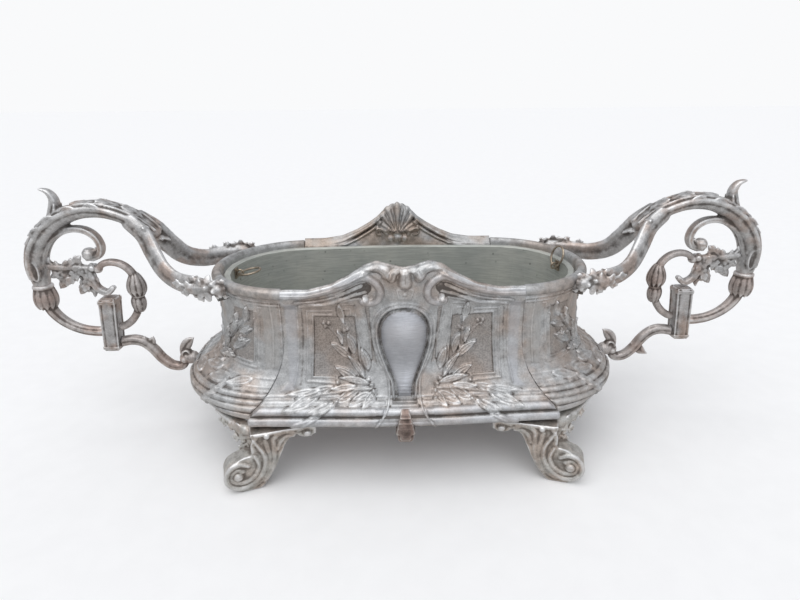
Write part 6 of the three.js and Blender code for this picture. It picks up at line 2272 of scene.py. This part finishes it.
        shells.append(ball((204.6, 0, 119.2), (2.4, 2.4, 2.2)))
        return self.cast("leaf_spray", fused(shells, 0.5), ARM_PLATE)

    def socket(self) -> bpy.types.Object:
        """Square grooved socket that the scrolls meet in."""
        body = (
            (201.55, 58.2, 0.84), (201.2, 61, 0.93), (200.4, 69, 0.96), (199.2, 82, 0.98),
            (197.95, 94, 0.99), (197.8, 96.8, 0.95),
        )
        shells = [prism(body, 5.6), prism(((198.1, 93.2, 1.04), (197.9, 95.6, 1.08)), 5.6, 0.0),
            prism(((201.4, 59.6, 0.98), (201.2, 61.6, 1.02)), 5.6, 0.0),
                  prism(((197.8, 96, 0.7), (197.75, 97.3, 0.62)), 5.6, 0.0)]
        shell = fused(shells, 0.4, 1)
        shell.points[:, 0] = np.clip(shell.points[:, 0], 192.4, 207.4)
        return self.cast("socket_block", shell, SOCKET_CAST)

    def lower_bracket(self) -> bpy.types.Object:
        """Bracket from the socket's foot to the belly of the end."""
        run = (
            (196, 0, 63.4, 3.8, 3.6), (188, 0, 64.6, 3.8, 3.6), (181, 0, 63, 3.8, 3.6),
            (175, 0, 57.6, 3.8, 3.6), (169.6, 0, 49.6, 3.8, 3.6), (163, 0, 44, 3.8, 3.4),
            (156.6, 0, 43.6, 3.8, 3), (153.6, 0, 47, 3.8, 2.6),
        )
        shells = [
            sweep(run, 0.7, 24, rib=grooved(0.18, 0.35, (0.0, math.pi))),
            sweep([(148.4, 0, 50, 4.7, 4.7), (152, 0, 50, 4.6, 4.6)], 0.6, 26, square=2.0),
            ball((153.4, 0, 49.4), (4.4, 4.6, 4.4)),
            leaf((155, 0, 51.6), (146, 0, 65), 3.8, 2.4, bend=-1.8, blunt=0.5),
            leaf((153, 0, 55), (151.4, 0, 62.6), 2.4, 2.2, bend=-0.8, blunt=0.8),
            sweep(spiral((151.6, 53.4), (3.6, 1.2), (-60, 300), (1.3, 0.9), (3.4, 3.0), 12), 0.6, 14),
            leaf((181, 0, 64.6), (168, 0, 53.6), 2.2, 2.6, bend=1.6),
            leaf((190, 0, 67), (179, 0, 66.4), 1.8, 2.4),
        ]
        if self.hand > 0:
            shells.append(leaf((171, 0, 53), (180.6, 0, 45.2), 3.4, 2.4, bend=-1.0))
        else:
            shells.append(leaf((178, 0, 60), (173.6, 0, 66.4), 3.2, 2.2, bend=0.6))
        for side in (-1, 1):
            shells.append(ball((153.4, side * 3.6, 49.4), (2.2, 1.6, 2.2)))
        shell = fused(shells, 0.5)
        shell.points[:, 0] = np.clip(shell.points[:, 0], 144.6, 194.6)
        return self.cast("lower_bracket", shell, BROWN_CAST)

    def build(self) -> None:
        """Builds every casting of the handle."""
        self.arm()
        self.outer_scroll()
        self.inner_scroll()
        self.leaf_spray()
        self.socket()
        self.lower_bracket()


# ---- liner, rings and screws


def dress_cad() -> None:
    """Finishes for the CAD nodes that keep their own shape."""
    kept = {
        Slot.ZINC: ("liner_wall", "liner_floor"), Slot.BRASS: ("left_ring_eye", "right_ring_eye",
            "left_ring_pull", "right_ring_pull"),
        Slot.TARNISHED: ("floor_plate",), Slot.STEEL: tuple(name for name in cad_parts
            if name.endswith("_screw") or name.startswith("foot_screw")),
    }
    finishes = {Slot.ZINC: ZINC, Slot.BRASS: WIRE, Slot.TARNISHED: BROWN_CAST, Slot.STEEL: STEEL}
    for slot, names in kept.items():
        for name in names:
            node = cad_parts[name]
            for holder in node.material_slots:
                holder.material = finishes[slot].material()
            LOG.info("%s keeps its shape, finish %s", name, finishes[slot].name)


# ---- stage


@dataclass
class Stage:
    """Pale floor, soft light and the photograph's point of view."""

    eye: Triple = (-11.1, -345.1, 228.0)
    yaw: float = 1.81
    pitch: float = -21.68
    roll: float = -0.41
    lens: float = 24.075
    ambient: Triple = (0.56, 0.57, 0.59)

    def camera(self) -> None:
        """Camera where the photographer stood."""
        yaw, pitch, roll = (math.radians(v) for v in (self.yaw, self.pitch, self.roll))
        forward = Vector((math.sin(yaw) * math.cos(pitch), math.cos(yaw) * math.cos(pitch),
            math.sin(pitch)))
        right = Vector((math.cos(yaw), -math.sin(yaw), 0))
        up = right.cross(forward)
        turned_right = right * math.cos(roll) + up * math.sin(roll)
        turned_up = -right * math.sin(roll) + up * math.cos(roll)
        lens = bpy.data.cameras.new("eye")
        lens.lens, lens.sensor_width = self.lens, 36.0
        lens.clip_start, lens.clip_end = 0.01, 50
        camera = bpy.data.objects.new("eye", lens)
        matrix = Matrix((turned_right, turned_up, -forward)).transposed().to_4x4()
        camera.matrix_world = Matrix.Translation(Vector(self.eye) * MM) @ matrix
        bpy.context.scene.collection.objects.link(camera)
        bpy.context.scene.camera = camera

    def floor(self) -> None:
        """Wide pale floor that takes the shadow."""
        mesh = bpy.data.meshes.new("floor")
        signs = ((-1, -1), (1, -1), (1, 1), (-1, 1))
        corners = [(x * FLOOR_HALF, y * FLOOR_HALF, -FLOOR_DROP) for x, y in signs]
        mesh.from_pydata(corners, [], [(0, 1, 2, 3)])
        material, graph = new_material("floor")
        noise = graph.noise(graph.place(), 60.0, 3.0)
        colour = graph.blend(graph.span(noise, 0.3, 0.7), rgb(0.925, 0.925, 0.93), rgb(0.94, 0.94, 0.945))
        seen = graph.add("ShaderNodeLightPath").outputs["Is Camera Ray"]
        colour = graph.blend(seen, rgb(0.60, 0.59, 0.575), colour)
        shader = graph.add("ShaderNodeBsdfPrincipled", {"Base Color": colour, "Roughness": 0.9,
            "Specular IOR Level": 0.1})
        graph.add("ShaderNodeOutputMaterial", {"Surface": shader.outputs[0]})
        mesh.materials.append(material)
        floor = bpy.data.objects.new("floor", mesh)
        bpy.context.scene.collection.objects.link(floor)

    def sky(self) -> None:
        """White surround, dimmer where it only lights."""
        world = bpy.data.worlds.new("surround")
        world.use_nodes = True
        graph = Graph(world.node_tree)
        seen = graph.add("ShaderNodeLightPath").outputs["Is Camera Ray"]
        colour = graph.blend(seen, rgb(*self.ambient), rgb(0.95, 0.955, 0.965))
        back = graph.add("ShaderNodeBackground", {"Color": colour, "Strength": 1.0})
        graph.add("ShaderNodeOutputWorld", {"Surface": back.outputs[0]})
        bpy.context.scene.world = world

    def lamp(self, name: str, turn: Point, spread: float, strength: float, tint: Point) -> None:
        """Wide soft light from far off, as from a large window.

        Args:
            name: Its name.
            turn: Its turn in degrees.
            spread: Angle that it fills, in degrees.
            strength: Its strength.
            tint: Its colour.
        """
        light = bpy.data.lights.new(name, "SUN")
        light.angle, light.energy, light.color = math.radians(spread), strength, tint
        lamp = bpy.data.objects.new(name, light)
        lamp.rotation_euler = [math.radians(a) for a in turn]
        bpy.context.scene.collection.objects.link(lamp)

    def build(self) -> None:
        """Sets the whole stage."""
        self.camera()
        self.floor()
        self.sky()
        self.lamp("key", (16, -14, 0), 70, 1.40, (1.0, 0.995, 0.985))
        self.lamp("fill", (58, 0, 26), 60, 0.28, (0.93, 0.96, 1.0))
        view = bpy.context.scene.view_settings
        view.view_transform = "Standard"


def main() -> None:
    """Builds and dresses the whole object."""
    logging.basicConfig(level=logging.INFO, format="%(name)s: %(message)s")
    LongCasting("front_panel", -1, Crest.PALMETTE, PANEL_PLATE).build()
    LongCasting("back_panel", 1, Crest.SHELL, BACK_PLATE).build()
    for hand in (-1, 1):
        RoundEnd(hand).build()
        Foot(hand, 1).build()
        Foot(hand, -1).build()
        Handle(hand).build()
    for side in (-1, 1):
        Pendant(side).build()
    dress_cad()
    Stage().build()


if __name__ == "__main__":
    main()
